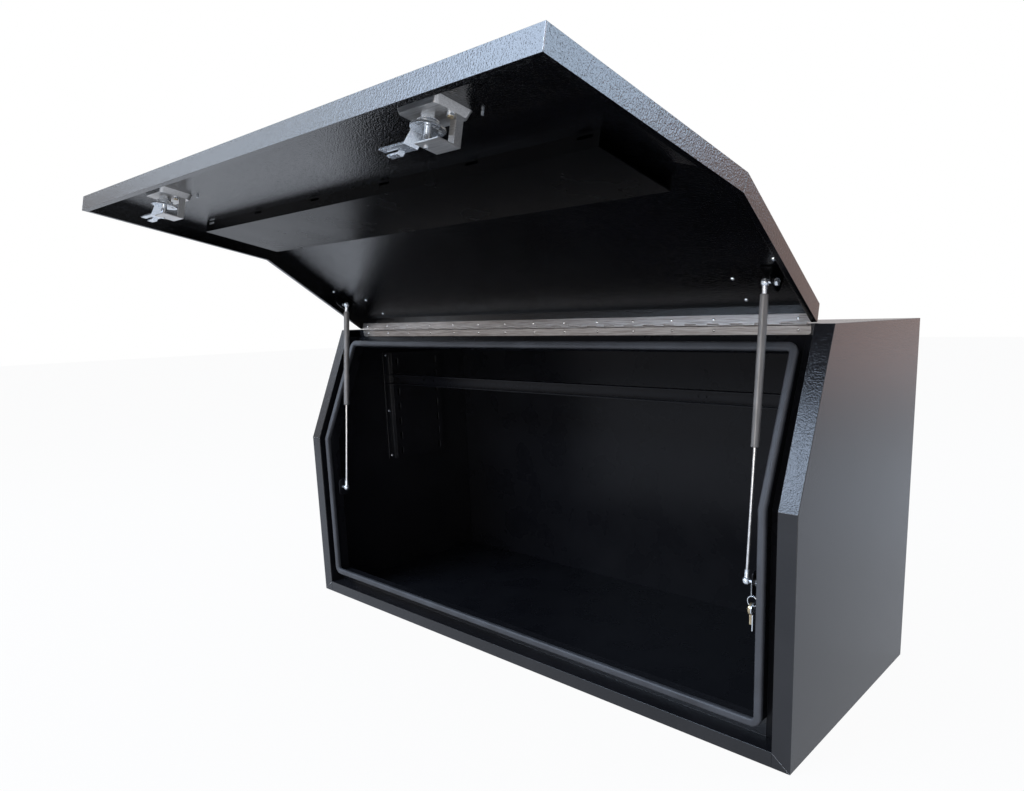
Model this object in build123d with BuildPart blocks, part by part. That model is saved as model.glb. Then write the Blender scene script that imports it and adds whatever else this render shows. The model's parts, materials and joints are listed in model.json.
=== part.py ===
"""Full lid tool box: a folded sheet body whose whole front is one cranked lid, hinged at the top.

Millimetres. X runs along the width, the front faces -Y, Z is up and the origin is the centre of the base.
The lid is modelled open, as it stands on its two gas struts.
"""
import math
import os

from build123d import *

os.makedirs("parts", exist_ok=True)

# Overall box
WIDTH = 1500.0
DEPTH = 600.0
HEIGHT = 780.0
KNEE_HEIGHT = 472.0
SLOPE_SETBACK = 126.0
SHEET = 2.0

# Door frame round the mouth
SIDE_FLANGE = 36.0
BOTTOM_FLANGE = 30.0
GUTTER_DEPTH = 42.0
GUTTER_WIDTH = 30.0
SILL_GUTTER = 39.0
UPSTAND_DEPTH = 10.0
HEAD_UPSTAND_DROP = 39.8
SEAL_WIDTH = 16.0
SEAL_GRIP = 5.0
SEAL_GAP = 0.4
SEAL_CORNER = 14.0

# Piano hinge
HINGE_SETBACK = 161.7
HINGE_DROP = 1.2
HINGE_SHORT = 44.0
BARREL_RADIUS = 2.5
PIN_RADIUS = 1.2
PIN_CLEARANCE = 0.05
LEAF = 1.2
LEAF_REACH = 18.8
LEAF_CORNER = 6.0
KNUCKLE = 25.4
KNUCKLE_GAP = 0.4
LEAF_GAP = 0.4
HINGE_FLANGE_END = 22.0
RIVET_PITCH = 97.0
RIVET_END = 24.0
RIVET_OFFSET = 10.0
RIVET_RADIUS = 3.4
RIVET_HEAD = 1.4
DOME_SIDES = 12
DOME_TAPER = 40.0

# Lid
LID_OPEN_ANGLE = 102.3
LID_SIDE_GAP = 10.7
LID_BOTTOM_GAP = 3.0
LID_RETURN = 31.6
LID_LIP = 11.0
LID_BACK_GAP = 4.2
SCREW_RADIUS = 4.0
SCREW_HEAD = 2.0
LID_SCREWS = ((-72.0, 8.2), (-72.0, 73.7), (25.0, -38.8))
STIFFENER_SHORT = 216.6
STIFFENER_LOW = 259.0
STIFFENER_HEIGHT = 179.0
STIFFENER_DEPTH = 23.0
STITCH_SLOTS = 6
STITCH_LENGTH = 30.0
STITCH_HEIGHT = 5.0
STITCH_PITCH = 228.0

# Gas struts
STRUT_INSET = 41.0
LOWER_BALL_DEPTH = 32.7
LOWER_BALL_Z = 326.7
UPPER_BALL_DEPTH = 19.3
UPPER_BALL_S = 236.3
BALL_RADIUS = 5.0
BALL_CLEARANCE = 0.06
NECK_RADIUS = 3.0
NECK_GAP = 0.4
SEAM_TURN = 90.0
SOCKET_RADIUS = 7.6
SOCKET_STEM = 4.6
SOCKET_MOUTH = 4.0
FITTING_LENGTH = 20.0
TUBE_RADIUS = 7.5
TUBE_WALL = 1.2
TUBE_COLLAR = 12.0
TUBE_LENGTH = 266.0
ROD_RADIUS = 3.0
ROD_CLEARANCE = 0.06
PISTON = 10.0
ROD_ENGAGED = 34.0

# Strut brackets
TAB = 3.0
TAB_GAP = 16.0
TAB_WIDTH = 27.0
TAB_REACH = 23.0
TAB_CORNER = 9.0
TAB_BEYOND = 9.0
UPPER_FOOT = 22.0
STUD_RADIUS = 4.0
STUD_CLEARANCE = 0.05
NUT_RADIUS = 7.2
NUT_HEIGHT = 6.0
FOOT_REACH = 50.0

# Turn locks
LOCK_INSET = 270.6
LOCK_Z = 110.0
DISH_WIDTH = 86.4
DISH_HEIGHT = 66.0
DISH_DEPTH = 13.0
DISH_SHEET = 1.2
DISH_TAPER = 4.0
DISH_RIM = 9.0
DISH_CORNER = 7.0
DISH_FIT = 0.3
SPINDLE_X = -2.0
SPINDLE_Z = -4.0
SPINDLE_RADIUS = 5.0
SPINDLE_CLEARANCE = 0.05
BEARING_RADIUS = 11.0
DISC_RADIUS = 24.0
DISC_DEPTH = 28.0
DISC_HOLES = 7
DISC_HOLE_CIRCLE = 16.0
DISC_HOLE_STEP = 30.0
DISC_HOLE_RADIUS = 2.4
CAM_SHEET = 3.0
ARM_LENGTH = 90.0
ARM_WIDTH = 24.0
ARM_JOG_START = 20.0
ARM_JOG_END = 34.0
ARM_GAP = 0.6
PRONG_START = 62.0
PRONG_STEP = 4.0
PRONG_SLOT = 3.0
STRAP_DEPTH = 54.0
BRACKET_RIGHT = 39.0
BRACKET_LEFT = 14.0
BRACKET_Z = 18.0
BRACKET_LIP = 10.0
STRAP_LEFT = -9.0
STRAP_LOW = -14.0
HANDLE_LENGTH = 31.0
HANDLE_WIDTH = 48.0
HANDLE_BAR = 11.0
HANDLE_THICK = 5.0
HANDLE_CORNER = 5.3
HANDLE_STEM = 6.0
HANDLE_FIT = 0.2
HEAD_RADIUS = 9.0
HEAD_FRONT = 1.0
HEAD_BACK = 9.5
TAIL_RADIUS = 3.0
FOLD_PIN_RADIUS = 1.5
FOLD_DEPTH = 4.5
KEYWAY_X = 32.0
KEYWAY_Z = 4.0
KEY_PLUG_RADIUS = 4.0
KEY_HOUSING_RADIUS = 5.6
KEY_FRONT = 3.0
KEY_BACK = 19.0
KEY_CLEARANCE = 0.05
KEY_SLOT_WIDTH = 1.2
KEY_SLOT_DEPTH = 6.0

# Shelf tracks and cross rail
TRACK_SETBACK = 262.0
TRACK_FLANGE = 22.0
TRACK_FACE = 191.0
TRACK_PROJECTION = 18.0
TRACK_LOW = 363.0
TRACK_HIGH = 705.0
SLOT_TOP = 675.5
SLOT_PITCH = 48.0
SLOT_ROWS = 7
SLOT_WIDTH = 7.0
SLOT_HEIGHT = 20.0
SLOT_INSET = 19.0
TRACK_RIVET_HEIGHTS = (374.0, 519.0, 696.0)
RAIL_SETBACK = 266.0
RAIL_DEPTH = 24.0
RAIL_LOW = 607.0
RAIL_HEIGHT = 30.0
RAIL_HOLES_LEFT = (21.4, 150.3, 175.0, 196.6)
RAIL_HOLES_RIGHT = (321.0, 341.2)
RAIL_HOLE_RADIUS = 3.2

# Keys left on the lower right ball stud
KEY_ALONG_NECK = 12.0
WIRE_RADIUS = 0.8
LOOP_RADIUS = 4.6
LOOP_DROP = 24.0
RING_RADIUS = 9.5
RING_WIRE = 1.0
BRASS_KEY = 40.0
STEEL_KEY = 52.0
KEY_BOW = 11.0
KEY_BLADE = 8.25
KEY_EYE = 2.0
KEY_PLAY = 0.2
KEY_SHEET = 2.0
KEY_SPACING = 2.4

# Derived places
FRONT_Y = -DEPTH / 2
SLOPE = math.atan2(SLOPE_SETBACK, HEIGHT - KNEE_HEIGHT)
SLOPE_LENGTH = math.hypot(SLOPE_SETBACK, HEIGHT - KNEE_HEIGHT)
HEAD_UPSTAND_S = SLOPE_LENGTH - HEAD_UPSTAND_DROP
MOUTH = WIDTH / 2 - SIDE_FLANGE
UPSTAND_X = MOUTH - GUTTER_WIDTH
UPSTAND_Z = BOTTOM_FLANGE + SILL_GUTTER
GUTTER_BACK = GUTTER_DEPTH + SHEET
HINGE_Y = FRONT_Y + HINGE_SETBACK
HINGE_Z = HEIGHT - HINGE_DROP
HINGE_FLANGE_LOW = HEIGHT - HINGE_FLANGE_END
HINGE_LENGTH = 2 * MOUTH - HINGE_SHORT
HALF_HINGE = HINGE_LENGTH / 2
LEAF_BACK = HINGE_Y + BARREL_RADIUS
LID_HALF = MOUTH - LID_SIDE_GAP
LID_LOW = BOTTOM_FLANGE + LID_BOTTOM_GAP
LID_TOP = HINGE_Z - BARREL_RADIUS + LEAF + SHEET
STIFFENER_LENGTH = 2 * LID_HALF - STIFFENER_SHORT
LOCK_X = LID_HALF - LOCK_INSET
STRUT_X = UPSTAND_X - STRUT_INSET
TAB_X = STRUT_X + TAB_GAP
KEY_X = STRUT_X + KEY_ALONG_NECK
SIDES = {"left": -1, "right": 1}

# Planes of the two front faces, seen from outside
FRONT = Plane(origin=(0, FRONT_Y, 0), x_dir=(1, 0, 0), z_dir=(0, -1, 0))
SLOPED = Plane(
    origin=(0, FRONT_Y, KNEE_HEIGHT),
    x_dir=(1, 0, 0),
    z_dir=(0, -math.cos(SLOPE), math.sin(SLOPE)),
)
HINGE_PLACE = Location((0, HINGE_Y, HINGE_Z))
LID_SWING = HINGE_PLACE * Location((0, 0, 0), (-LID_OPEN_ANGLE, 0, 0)) * HINGE_PLACE.inverse()


def on_lid(plane):
    """A plane of the closed lid, carried to where the open lid holds it."""
    return Plane(LID_SWING * plane.location)


def knee_z(depth):
    """Height at which sheet lying depth behind the front turns from upright to sloped."""
    return KNEE_HEIGHT - depth * math.tan(SLOPE / 2)


def front_y(depth, z):
    """Y of the surface that lies depth behind the front, at height z."""
    if z <= knee_z(depth):
        return FRONT_Y + depth
    return FRONT_Y + (depth + (z - KNEE_HEIGHT) * math.sin(SLOPE)) / math.cos(SLOPE)


def slope_point(depth, s):
    """Y and Z of a point depth behind the sloped face and s up it from the knee."""
    y = FRONT_Y + depth * math.cos(SLOPE) + s * math.sin(SLOPE)
    z = KNEE_HEIGHT - depth * math.sin(SLOPE) + s * math.cos(SLOPE)
    return y, z


def band(near, far, low, high):
    """Section in Y and Z of sheet that follows the front between two depths."""
    return [
        (front_y(near, low), low),
        (FRONT_Y + near, knee_z(near)),
        (front_y(near, high), high),
        (front_y(far, high), high),
        (FRONT_Y + far, knee_z(far)),
        (front_y(far, low), low),
    ]


def section(points, x_from, x_to, place=lambda plane: plane, mode=Mode.ADD):
    """Extrude a section given in Y and Z between two places along X."""
    with BuildSketch(place(Plane.YZ.offset(min(x_from, x_to)))) as profile:
        with BuildLine():
            Polyline(*points, close=True)
        make_face()
    extrude(profile.sketch, amount=abs(x_to - x_from), mode=mode)


def rectangle(y_from, y_to, z_from, z_to):
    """Corner points of an upright rectangle in Y and Z."""
    return [(y_from, z_from), (y_to, z_from), (y_to, z_to), (y_from, z_to)]


# Floor, back and top of the body
with BuildPart() as floor_panel:
    section(rectangle(FRONT_Y + SHEET, DEPTH / 2 - SHEET, 0, SHEET), SHEET - WIDTH / 2, WIDTH / 2 - SHEET)
floor_panel.part.label = "floor_panel"
export_step(floor_panel.part, "parts/floor_panel.step")

with BuildPart() as back_panel:
    back = rectangle(DEPTH / 2 - SHEET, DEPTH / 2, 0, HEIGHT - SHEET)
    section(back, SHEET - WIDTH / 2, WIDTH / 2 - SHEET)
back_panel.part.label = "back_panel"
export_step(back_panel.part, "parts/back_panel.step")

with BuildPart() as top_panel:
    section(rectangle(LEAF_BACK, DEPTH / 2, HEIGHT - SHEET, HEIGHT), SHEET - WIDTH / 2, WIDTH / 2 - SHEET)
    section(rectangle(LEAF_BACK, LEAF_BACK + SHEET, HINGE_FLANGE_LOW, HEIGHT), -MOUTH, MOUTH)
    for side in SIDES.values():
        corner = rectangle(front_y(SHEET, HEIGHT), LEAF_BACK, HEIGHT - SHEET, HEIGHT)
        section(corner, side * MOUTH, side * (WIDTH / 2 - SHEET))
top_panel.part.label = "top_panel"
export_step(top_panel.part, "parts/top_panel.step")

# End panels, each with its front flange, and the jambs welded behind them
for side_name, side in SIDES.items():
    with BuildPart() as end_panel:
        outline = [
            (FRONT_Y, 0),
            (FRONT_Y, KNEE_HEIGHT),
            (FRONT_Y + SLOPE_SETBACK, HEIGHT),
            (DEPTH / 2, HEIGHT),
            (DEPTH / 2, 0),
        ]
        section(outline, side * (WIDTH / 2 - SHEET), side * WIDTH / 2)
        section(band(0, SHEET, 0, HEIGHT), side * MOUTH, side * (WIDTH / 2 - SHEET))
    end_panel.part.label = f"{side_name}_end_panel"
    export_step(end_panel.part, f"parts/{side_name}_end_panel.step")

    with BuildPart() as jamb:
        section(
            band(SHEET, GUTTER_BACK, BOTTOM_FLANGE - SHEET, HINGE_FLANGE_LOW),
            side * MOUTH,
            side * (MOUTH + SHEET),
        )
        section(
            band(GUTTER_DEPTH, GUTTER_BACK, BOTTOM_FLANGE, HINGE_FLANGE_LOW),
            side * UPSTAND_X,
            side * MOUTH,
        )
        upstand_top = slope_point(0, HEAD_UPSTAND_S)[1]
        section(
            band(UPSTAND_DEPTH, GUTTER_DEPTH, UPSTAND_Z + SHEET, upstand_top),
            side * (UPSTAND_X - SHEET),
            side * UPSTAND_X,
        )
        section(
            band(GUTTER_DEPTH, GUTTER_BACK, UPSTAND_Z + SHEET, upstand_top),
            side * (UPSTAND_X - SHEET),
            side * UPSTAND_X,
        )
        beyond = [
            slope_point(0, HEAD_UPSTAND_S),
            slope_point(0, HEAD_UPSTAND_S + GUTTER_DEPTH),
            slope_point(2 * GUTTER_BACK, HEAD_UPSTAND_S + GUTTER_DEPTH),
            slope_point(2 * GUTTER_BACK, HEAD_UPSTAND_S),
        ]
        section(beyond, side * (UPSTAND_X - SHEET), side * UPSTAND_X, mode=Mode.SUBTRACT)
    jamb.part.label = f"{side_name}_jamb"
    export_step(jamb.part, f"parts/{side_name}_jamb.step")

# Sill and head of the door frame
with BuildPart() as bottom_sill:
    sill = [
        (FRONT_Y, 0),
        (FRONT_Y, BOTTOM_FLANGE),
        (FRONT_Y + GUTTER_DEPTH, BOTTOM_FLANGE),
        (FRONT_Y + GUTTER_DEPTH, BOTTOM_FLANGE - SHEET),
        (FRONT_Y + SHEET, BOTTOM_FLANGE - SHEET),
        (FRONT_Y + SHEET, 0),
    ]
    section(sill, -MOUTH, MOUTH)
    gutter = [
        (FRONT_Y + GUTTER_DEPTH, BOTTOM_FLANGE - SHEET),
        (FRONT_Y + GUTTER_DEPTH, UPSTAND_Z),
        (FRONT_Y + UPSTAND_DEPTH, UPSTAND_Z),
        (FRONT_Y + UPSTAND_DEPTH, UPSTAND_Z + SHEET),
        (FRONT_Y + GUTTER_BACK, UPSTAND_Z + SHEET),
        (FRONT_Y + GUTTER_BACK, BOTTOM_FLANGE - SHEET),
    ]
    section(gutter, -UPSTAND_X, UPSTAND_X)
bottom_sill.part.label = "bottom_sill"
export_step(bottom_sill.part, "parts/bottom_sill.step")

with BuildPart() as head_channel:
    fold_y, fold_z = LEAF_BACK, HINGE_FLANGE_LOW
    fold_depth = (fold_y - FRONT_Y) * math.cos(SLOPE) - (fold_z - KNEE_HEIGHT) * math.sin(SLOPE)
    channel = [
        (fold_y, fold_z),
        slope_point(fold_depth, HEAD_UPSTAND_S + SHEET),
        slope_point(UPSTAND_DEPTH, HEAD_UPSTAND_S + SHEET),
        slope_point(UPSTAND_DEPTH, HEAD_UPSTAND_S),
        slope_point(fold_depth + SHEET, HEAD_UPSTAND_S),
        (fold_y + SHEET, fold_z),
    ]
    section(channel, -UPSTAND_X, UPSTAND_X)
head_channel.part.label = "head_channel"
export_step(head_channel.part, "parts/head_channel.step")

# Rubber seal that grips the edge of the upstand all the way round
seal_x = UPSTAND_X - SHEET / 2
seal_low = UPSTAND_Z + SHEET / 2
seal_top = HEAD_UPSTAND_S + SHEET / 2
seal_front = SHEET + SEAL_GAP
seal_path_depth = UPSTAND_DEPTH
with BuildPart() as door_seal:
    with BuildLine(FRONT.offset(-seal_path_depth)) as lower_run:
        low_side = (seal_x, knee_z(seal_path_depth))
        FilletPolyline((0, seal_low), (seal_x, seal_low), low_side, radius=SEAL_CORNER)
    with BuildLine(SLOPED.offset(-seal_path_depth)) as upper_run:
        knee_v = seal_path_depth * math.tan(SLOPE / 2)
        FilletPolyline((seal_x, knee_v), (seal_x, seal_top), (0, seal_top), radius=SEAL_CORNER)
    seal_path = Wire(lower_run.edges() + upper_run.edges())
    with BuildSketch(Plane.YZ) as seal_section:
        seal_mid = FRONT_Y + (seal_front + UPSTAND_DEPTH + SEAL_GRIP) / 2
        seal_thick = UPSTAND_DEPTH + SEAL_GRIP - seal_front
        with Locations((seal_mid, seal_low)):
            RectangleRounded(seal_thick, SEAL_WIDTH, SEAL_GRIP)
        with Locations((FRONT_Y + UPSTAND_DEPTH + SEAL_GRIP / 2, seal_low)):
            Rectangle(SEAL_GRIP, SHEET, mode=Mode.SUBTRACT)
    sweep(sections=seal_section.sketch, path=seal_path, transition=Transition.RIGHT)
    mirror(about=Plane.YZ)
    sill_edge = rectangle(FRONT_Y + UPSTAND_DEPTH, FRONT_Y + GUTTER_BACK, UPSTAND_Z, UPSTAND_Z + SHEET)
    section(sill_edge, -UPSTAND_X, UPSTAND_X, mode=Mode.SUBTRACT)
    section(channel, -UPSTAND_X, UPSTAND_X, mode=Mode.SUBTRACT)
    for side in SIDES.values():
        jamb_edge = band(UPSTAND_DEPTH, GUTTER_DEPTH, UPSTAND_Z, upstand_top)
        section(jamb_edge, side * (UPSTAND_X - SHEET), side * UPSTAND_X, mode=Mode.SUBTRACT)
door_seal.part.label = "door_seal"
export_step(door_seal.part, "parts/door_seal.step")
print("seal volume", round(door_seal.part.volume), "path", round(seal_path.length))

# Piano hinge, its knuckles taken in turn by the two leaves
knuckles = int(HINGE_LENGTH // KNUCKLE)
knuckle_start = -knuckles * KNUCKLE / 2


def hinge_leaf(first, leaf_face, length_face, place=lambda plane: plane):
    """A flat leaf and every second knuckle, counted from first, round the pin."""
    section(leaf_face, -HALF_HINGE, HALF_HINGE, place)
    for number in range(first, knuckles, 2):
        start = knuckle_start + number * KNUCKLE + KNUCKLE_GAP / 2
        with BuildSketch(place(Plane.YZ.offset(start))) as knuckle:
            with BuildLine():
                Polyline(*length_face, close=True)
            make_face()
            with Locations((HINGE_Y, HINGE_Z)):
                Circle(BARREL_RADIUS)
                Circle(PIN_RADIUS + PIN_CLEARANCE, mode=Mode.SUBTRACT)
        extrude(knuckle.sketch, amount=KNUCKLE - KNUCKLE_GAP)


leaf_end = BARREL_RADIUS + LEAF_GAP
with BuildPart() as hinge_body_leaf:
    plate = rectangle(LEAF_BACK - LEAF, LEAF_BACK, HINGE_Z - LEAF_REACH, HINGE_Z - leaf_end)
    neck = rectangle(LEAF_BACK - LEAF, LEAF_BACK, HINGE_Z - leaf_end, HINGE_Z)
    hinge_leaf(0, plate, neck)
    corners = hinge_body_leaf.edges().filter_by(Axis.Y).group_by(Axis.Z)[0]
    fillet(corners, LEAF_CORNER)
hinge_body_leaf.part.label = "hinge_body_leaf"
export_step(hinge_body_leaf.part, "parts/hinge_body_leaf.step")

leaf_under = HINGE_Z - BARREL_RADIUS
with BuildPart() as hinge_lid_leaf:
    plate = rectangle(HINGE_Y - LEAF_REACH, HINGE_Y - leaf_end, leaf_under, leaf_under + LEAF)
    neck = rectangle(HINGE_Y - leaf_end, HINGE_Y, leaf_under, leaf_under + LEAF)
    hinge_leaf(1, plate, neck, on_lid)
hinge_lid_leaf.part.label = "hinge_lid_leaf"
export_step(hinge_lid_leaf.part, "parts/hinge_lid_leaf.step")

with BuildPart() as hinge_pin:
    with BuildSketch(Plane.YZ.offset(-HALF_HINGE)):
        with Locations((HINGE_Y, HINGE_Z)):
            Circle(PIN_RADIUS)
    extrude(amount=HINGE_LENGTH)
hinge_pin.part.label = "hinge_pin"
export_step(hinge_pin.part, "parts/hinge_pin.step")

# Blind rivets through the leaves, every pitch from the left and one close to the right end
rivet_steps = int((HINGE_LENGTH - 2 * RIVET_END) // RIVET_PITCH)
rivet_xs = [RIVET_END - HALF_HINGE + n * RIVET_PITCH for n in range(rivet_steps)]
rivet_xs.append(HALF_HINGE - RIVET_END)


def dome_heads(plane, points, radius, height):
    """Low rivet heads that stand on a plane."""
    with BuildSketch(plane) as foot:
        with Locations(*points):
            RegularPolygon(radius, DOME_SIDES)
    extrude(foot.sketch, amount=height, taper=DOME_TAPER)


with BuildPart() as hinge_body_rivets:
    leaf_front = Plane(origin=(0, LEAF_BACK - LEAF, HINGE_Z), x_dir=(1, 0, 0), z_dir=(0, -1, 0))
    dome_heads(leaf_front, [(x, -RIVET_OFFSET) for x in rivet_xs], RIVET_RADIUS, RIVET_HEAD)
hinge_body_rivets.part.label = "hinge_body_rivets"
export_step(hinge_body_rivets.part, "parts/hinge_body_rivets.step")

with BuildPart() as hinge_lid_rivets:
    leaf_face = Plane(origin=(0, HINGE_Y, leaf_under), x_dir=(1, 0, 0), z_dir=(0, 0, -1))
    dome_heads(on_lid(leaf_face), [(x, RIVET_OFFSET) for x in rivet_xs], RIVET_RADIUS, RIVET_HEAD)
hinge_lid_rivets.part.label = "hinge_lid_rivets"
export_step(hinge_lid_rivets.part, "parts/hinge_lid_rivets.step")

# Lid, one folded pan with inward lips on its two sides and its lower edge
with BuildPart() as lid_shell:
    lid_back = HINGE_Y - LID_BACK_GAP
    skin = [
        (FRONT_Y, LID_LOW),
        (FRONT_Y, KNEE_HEIGHT),
        (front_y(0, LID_TOP), LID_TOP),
        (lid_back, LID_TOP),
        (lid_back, LID_TOP - SHEET),
        (front_y(SHEET, LID_TOP - SHEET), LID_TOP - SHEET),
        (FRONT_Y + SHEET, knee_z(SHEET)),
        (FRONT_Y + SHEET, LID_LOW),
    ]
    section(skin, -LID_HALF, LID_HALF, on_lid)
    lip_depth = LID_RETURN - SHEET
    side_inside = LID_HALF - SHEET
    section(
        rectangle(FRONT_Y + SHEET, FRONT_Y + LID_RETURN, LID_LOW, LID_LOW + SHEET),
        -LID_HALF,
        LID_HALF,
        on_lid,
    )
    section(
        rectangle(FRONT_Y + lip_depth, FRONT_Y + LID_RETURN, LID_LOW, LID_LOW + LID_LIP),
        -LID_HALF,
        LID_HALF,
        on_lid,
    )
    for side in SIDES.values():
        wall = band(SHEET, LID_RETURN, LID_LOW, LID_TOP - SHEET)
        section(wall, side * side_inside, side * LID_HALF, on_lid)
        lip = band(lip_depth, LID_RETURN, LID_LOW, LID_TOP - SHEET)
        section(lip, side * (LID_HALF - LID_LIP), side * side_inside, on_lid)
    for side in SIDES.values():
        with BuildSketch(on_lid(FRONT)) as mouth:
            with Locations((side * LOCK_X, LOCK_Z)):
                mouth_width = DISH_WIDTH + 2 * DISH_FIT
                mouth_height = DISH_HEIGHT + 2 * DISH_FIT
                RectangleRounded(mouth_width, mouth_height, DISH_CORNER + DISH_FIT)
        extrude(mouth.sketch, amount=-SHEET, mode=Mode.SUBTRACT)
lid_shell.part.label = "lid_shell"
export_step(lid_shell.part, "parts/lid_shell.step")

# Stiffener, a channel across the lower half of the lid with stitch slots in its lower wall
with BuildPart() as lid_stiffener:
    stiffener_back = FRONT_Y + SHEET + STIFFENER_DEPTH
    stiffener_high = STIFFENER_LOW + STIFFENER_HEIGHT
    channel = [
        (FRONT_Y + SHEET, STIFFENER_LOW),
        (stiffener_back, STIFFENER_LOW),
        (stiffener_back, stiffener_high),
        (FRONT_Y + SHEET, stiffener_high),
        (FRONT_Y + SHEET, stiffener_high - SHEET),
        (stiffener_back - SHEET, stiffener_high - SHEET),
        (stiffener_back - SHEET, STIFFENER_LOW + SHEET),
        (FRONT_Y + SHEET, STIFFENER_LOW + SHEET),
    ]
    section(channel, -STIFFENER_LENGTH / 2, STIFFENER_LENGTH / 2, on_lid)
    wall = Plane(origin=(0, FRONT_Y + SHEET, STIFFENER_LOW), x_dir=(1, 0, 0), z_dir=(0, 0, -1))
    with BuildSketch(on_lid(wall)) as slots:
        with Locations((0, -STITCH_HEIGHT)):
            with GridLocations(STITCH_PITCH, 1, STITCH_SLOTS, 1):
                SlotOverall(STITCH_LENGTH, STITCH_HEIGHT)
    extrude(slots.sketch, amount=-SHEET, mode=Mode.SUBTRACT)
lid_stiffener.part.label = "lid_stiffener"
export_step(lid_stiffener.part, "parts/lid_stiffener.step")

# Strut brackets: a foot on the metal and a rounded tab that carries the ball stud
lower_ball = (FRONT_Y + LOWER_BALL_DEPTH, LOWER_BALL_Z)
upper_ball = slope_point(UPPER_BALL_DEPTH, UPPER_BALL_S)


def stud_tab(points, ball, x, place=lambda plane: plane):
    """A tab rounded at its free end, with the hole of its ball stud."""
    with BuildSketch(place(Plane.YZ.offset(x))) as tab:
        with BuildLine():
            FilletPolyline(*points, radius=TAB_CORNER)
            Line(points[-1], points[0])
        make_face()
        with Locations(ball):
            Circle(STUD_RADIUS + STUD_CLEARANCE, mode=Mode.SUBTRACT)
    extrude(tab.sketch, amount=TAB)


for side_name, side in SIDES.items():
    tab_x = min(side * TAB_X, side * (TAB_X + TAB))
    with BuildPart() as lower_bracket:
        foot_back = FRONT_Y + GUTTER_BACK + TAB
        low, high = LOWER_BALL_Z - TAB_REACH, LOWER_BALL_Z + TAB_REACH
        tab_front = lower_ball[0] - TAB_WIDTH / 2
        outline = [(foot_back, low), (tab_front, low), (tab_front, high), (foot_back, high)]
        stud_tab(outline, lower_ball, tab_x)
        foot = rectangle(foot_back - TAB, foot_back, low, high)
        section(foot, side * (TAB_X + TAB), side * (TAB_X + FOOT_REACH))
    lower_bracket.part.label = f"{side_name}_lower_bracket"
    export_step(lower_bracket.part, f"parts/{side_name}_lower_bracket.step")

    with BuildPart() as upper_bracket:
        low, high = UPPER_BALL_S - TAB_REACH, UPPER_BALL_S + TAB_REACH
        far = UPPER_BALL_DEPTH + TAB_BEYOND
        outline = [
            slope_point(SHEET, low),
            slope_point(far, low),
            slope_point(far, high),
            slope_point(SHEET, high),
        ]
        stud_tab(outline, upper_ball, tab_x, on_lid)
        foot = [
            slope_point(SHEET, low),
            slope_point(SHEET + TAB, low),
            slope_point(SHEET + TAB, high),
            slope_point(SHEET, high),
        ]
        section(foot, side * (TAB_X - UPPER_FOOT), side * TAB_X, on_lid)
    upper_bracket.part.label = f"{side_name}_upper_bracket"
    export_step(upper_bracket.part, f"parts/{side_name}_upper_bracket.step")

# Ball studs, their nuts and the screws of the lid
open_ball = (LID_SWING * Location((0, *upper_ball))).position


def round_bar(centre, radius, x_from, x_to):
    """A bar along X between two places, round a centre in Y and Z."""
    with BuildSketch(Plane.YZ.offset(min(x_from, x_to))) as bar:
        with Locations(centre):
            Circle(radius)
    extrude(bar.sketch, amount=abs(x_to - x_from))


def stud_nuts(centre):
    """The two nuts of one pair of ball studs, outboard of their tabs."""
    for side in SIDES.values():
        x_from = min(side * (TAB_X + TAB), side * (TAB_X + TAB + NUT_HEIGHT))
        with BuildSketch(Plane.YZ.offset(x_from)) as nut:
            with Locations(centre):
                RegularPolygon(NUT_RADIUS, 6)
                Circle(STUD_RADIUS + STUD_CLEARANCE, mode=Mode.SUBTRACT)
        extrude(nut.sketch, amount=NUT_HEIGHT)


stud_end = TAB_X + TAB + NUT_HEIGHT
with BuildPart() as lower_ball_studs:
    for side in SIDES.values():
        with Locations((side * STRUT_X, *lower_ball)):
            Sphere(BALL_RADIUS, rotation=(0, 0, SEAM_TURN))
        round_bar(lower_ball, NECK_RADIUS, side * STRUT_X, side * TAB_X)
        round_bar(lower_ball, STUD_RADIUS, side * TAB_X, side * stud_end)
lower_ball_studs.part.label = "lower_ball_studs"
export_step(lower_ball_studs.part, "parts/lower_ball_studs.step")

with BuildPart() as lower_stud_nuts:
    stud_nuts(lower_ball)
lower_stud_nuts.part.label = "lower_stud_nuts"
export_step(lower_stud_nuts.part, "parts/lower_stud_nuts.step")

with BuildPart() as upper_stud_shanks:
    for side in SIDES.values():
        round_bar((open_ball.Y, open_ball.Z), STUD_RADIUS, side * TAB_X, side * stud_end)
upper_stud_shanks.part.label = "upper_stud_shanks"
export_step(upper_stud_shanks.part, "parts/upper_stud_shanks.step")

with BuildPart() as upper_stud_nuts:
    stud_nuts((open_ball.Y, open_ball.Z))
upper_stud_nuts.part.label = "upper_stud_nuts"
export_step(upper_stud_nuts.part, "parts/upper_stud_nuts.step")

with BuildPart() as lid_screws:
    inside = on_lid(SLOPED.offset(-SHEET))
    turned = Plane(origin=inside.origin, x_dir=inside.x_dir, z_dir=-inside.z_dir)
    spots = [(side * (STRUT_X + x), -UPPER_BALL_S - s) for side in SIDES.values() for x, s in LID_SCREWS]
    dome_heads(turned, spots, SCREW_RADIUS, SCREW_HEAD)
lid_screws.part.label = "lid_screws"
export_step(lid_screws.part, "parts/lid_screws.step")

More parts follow.
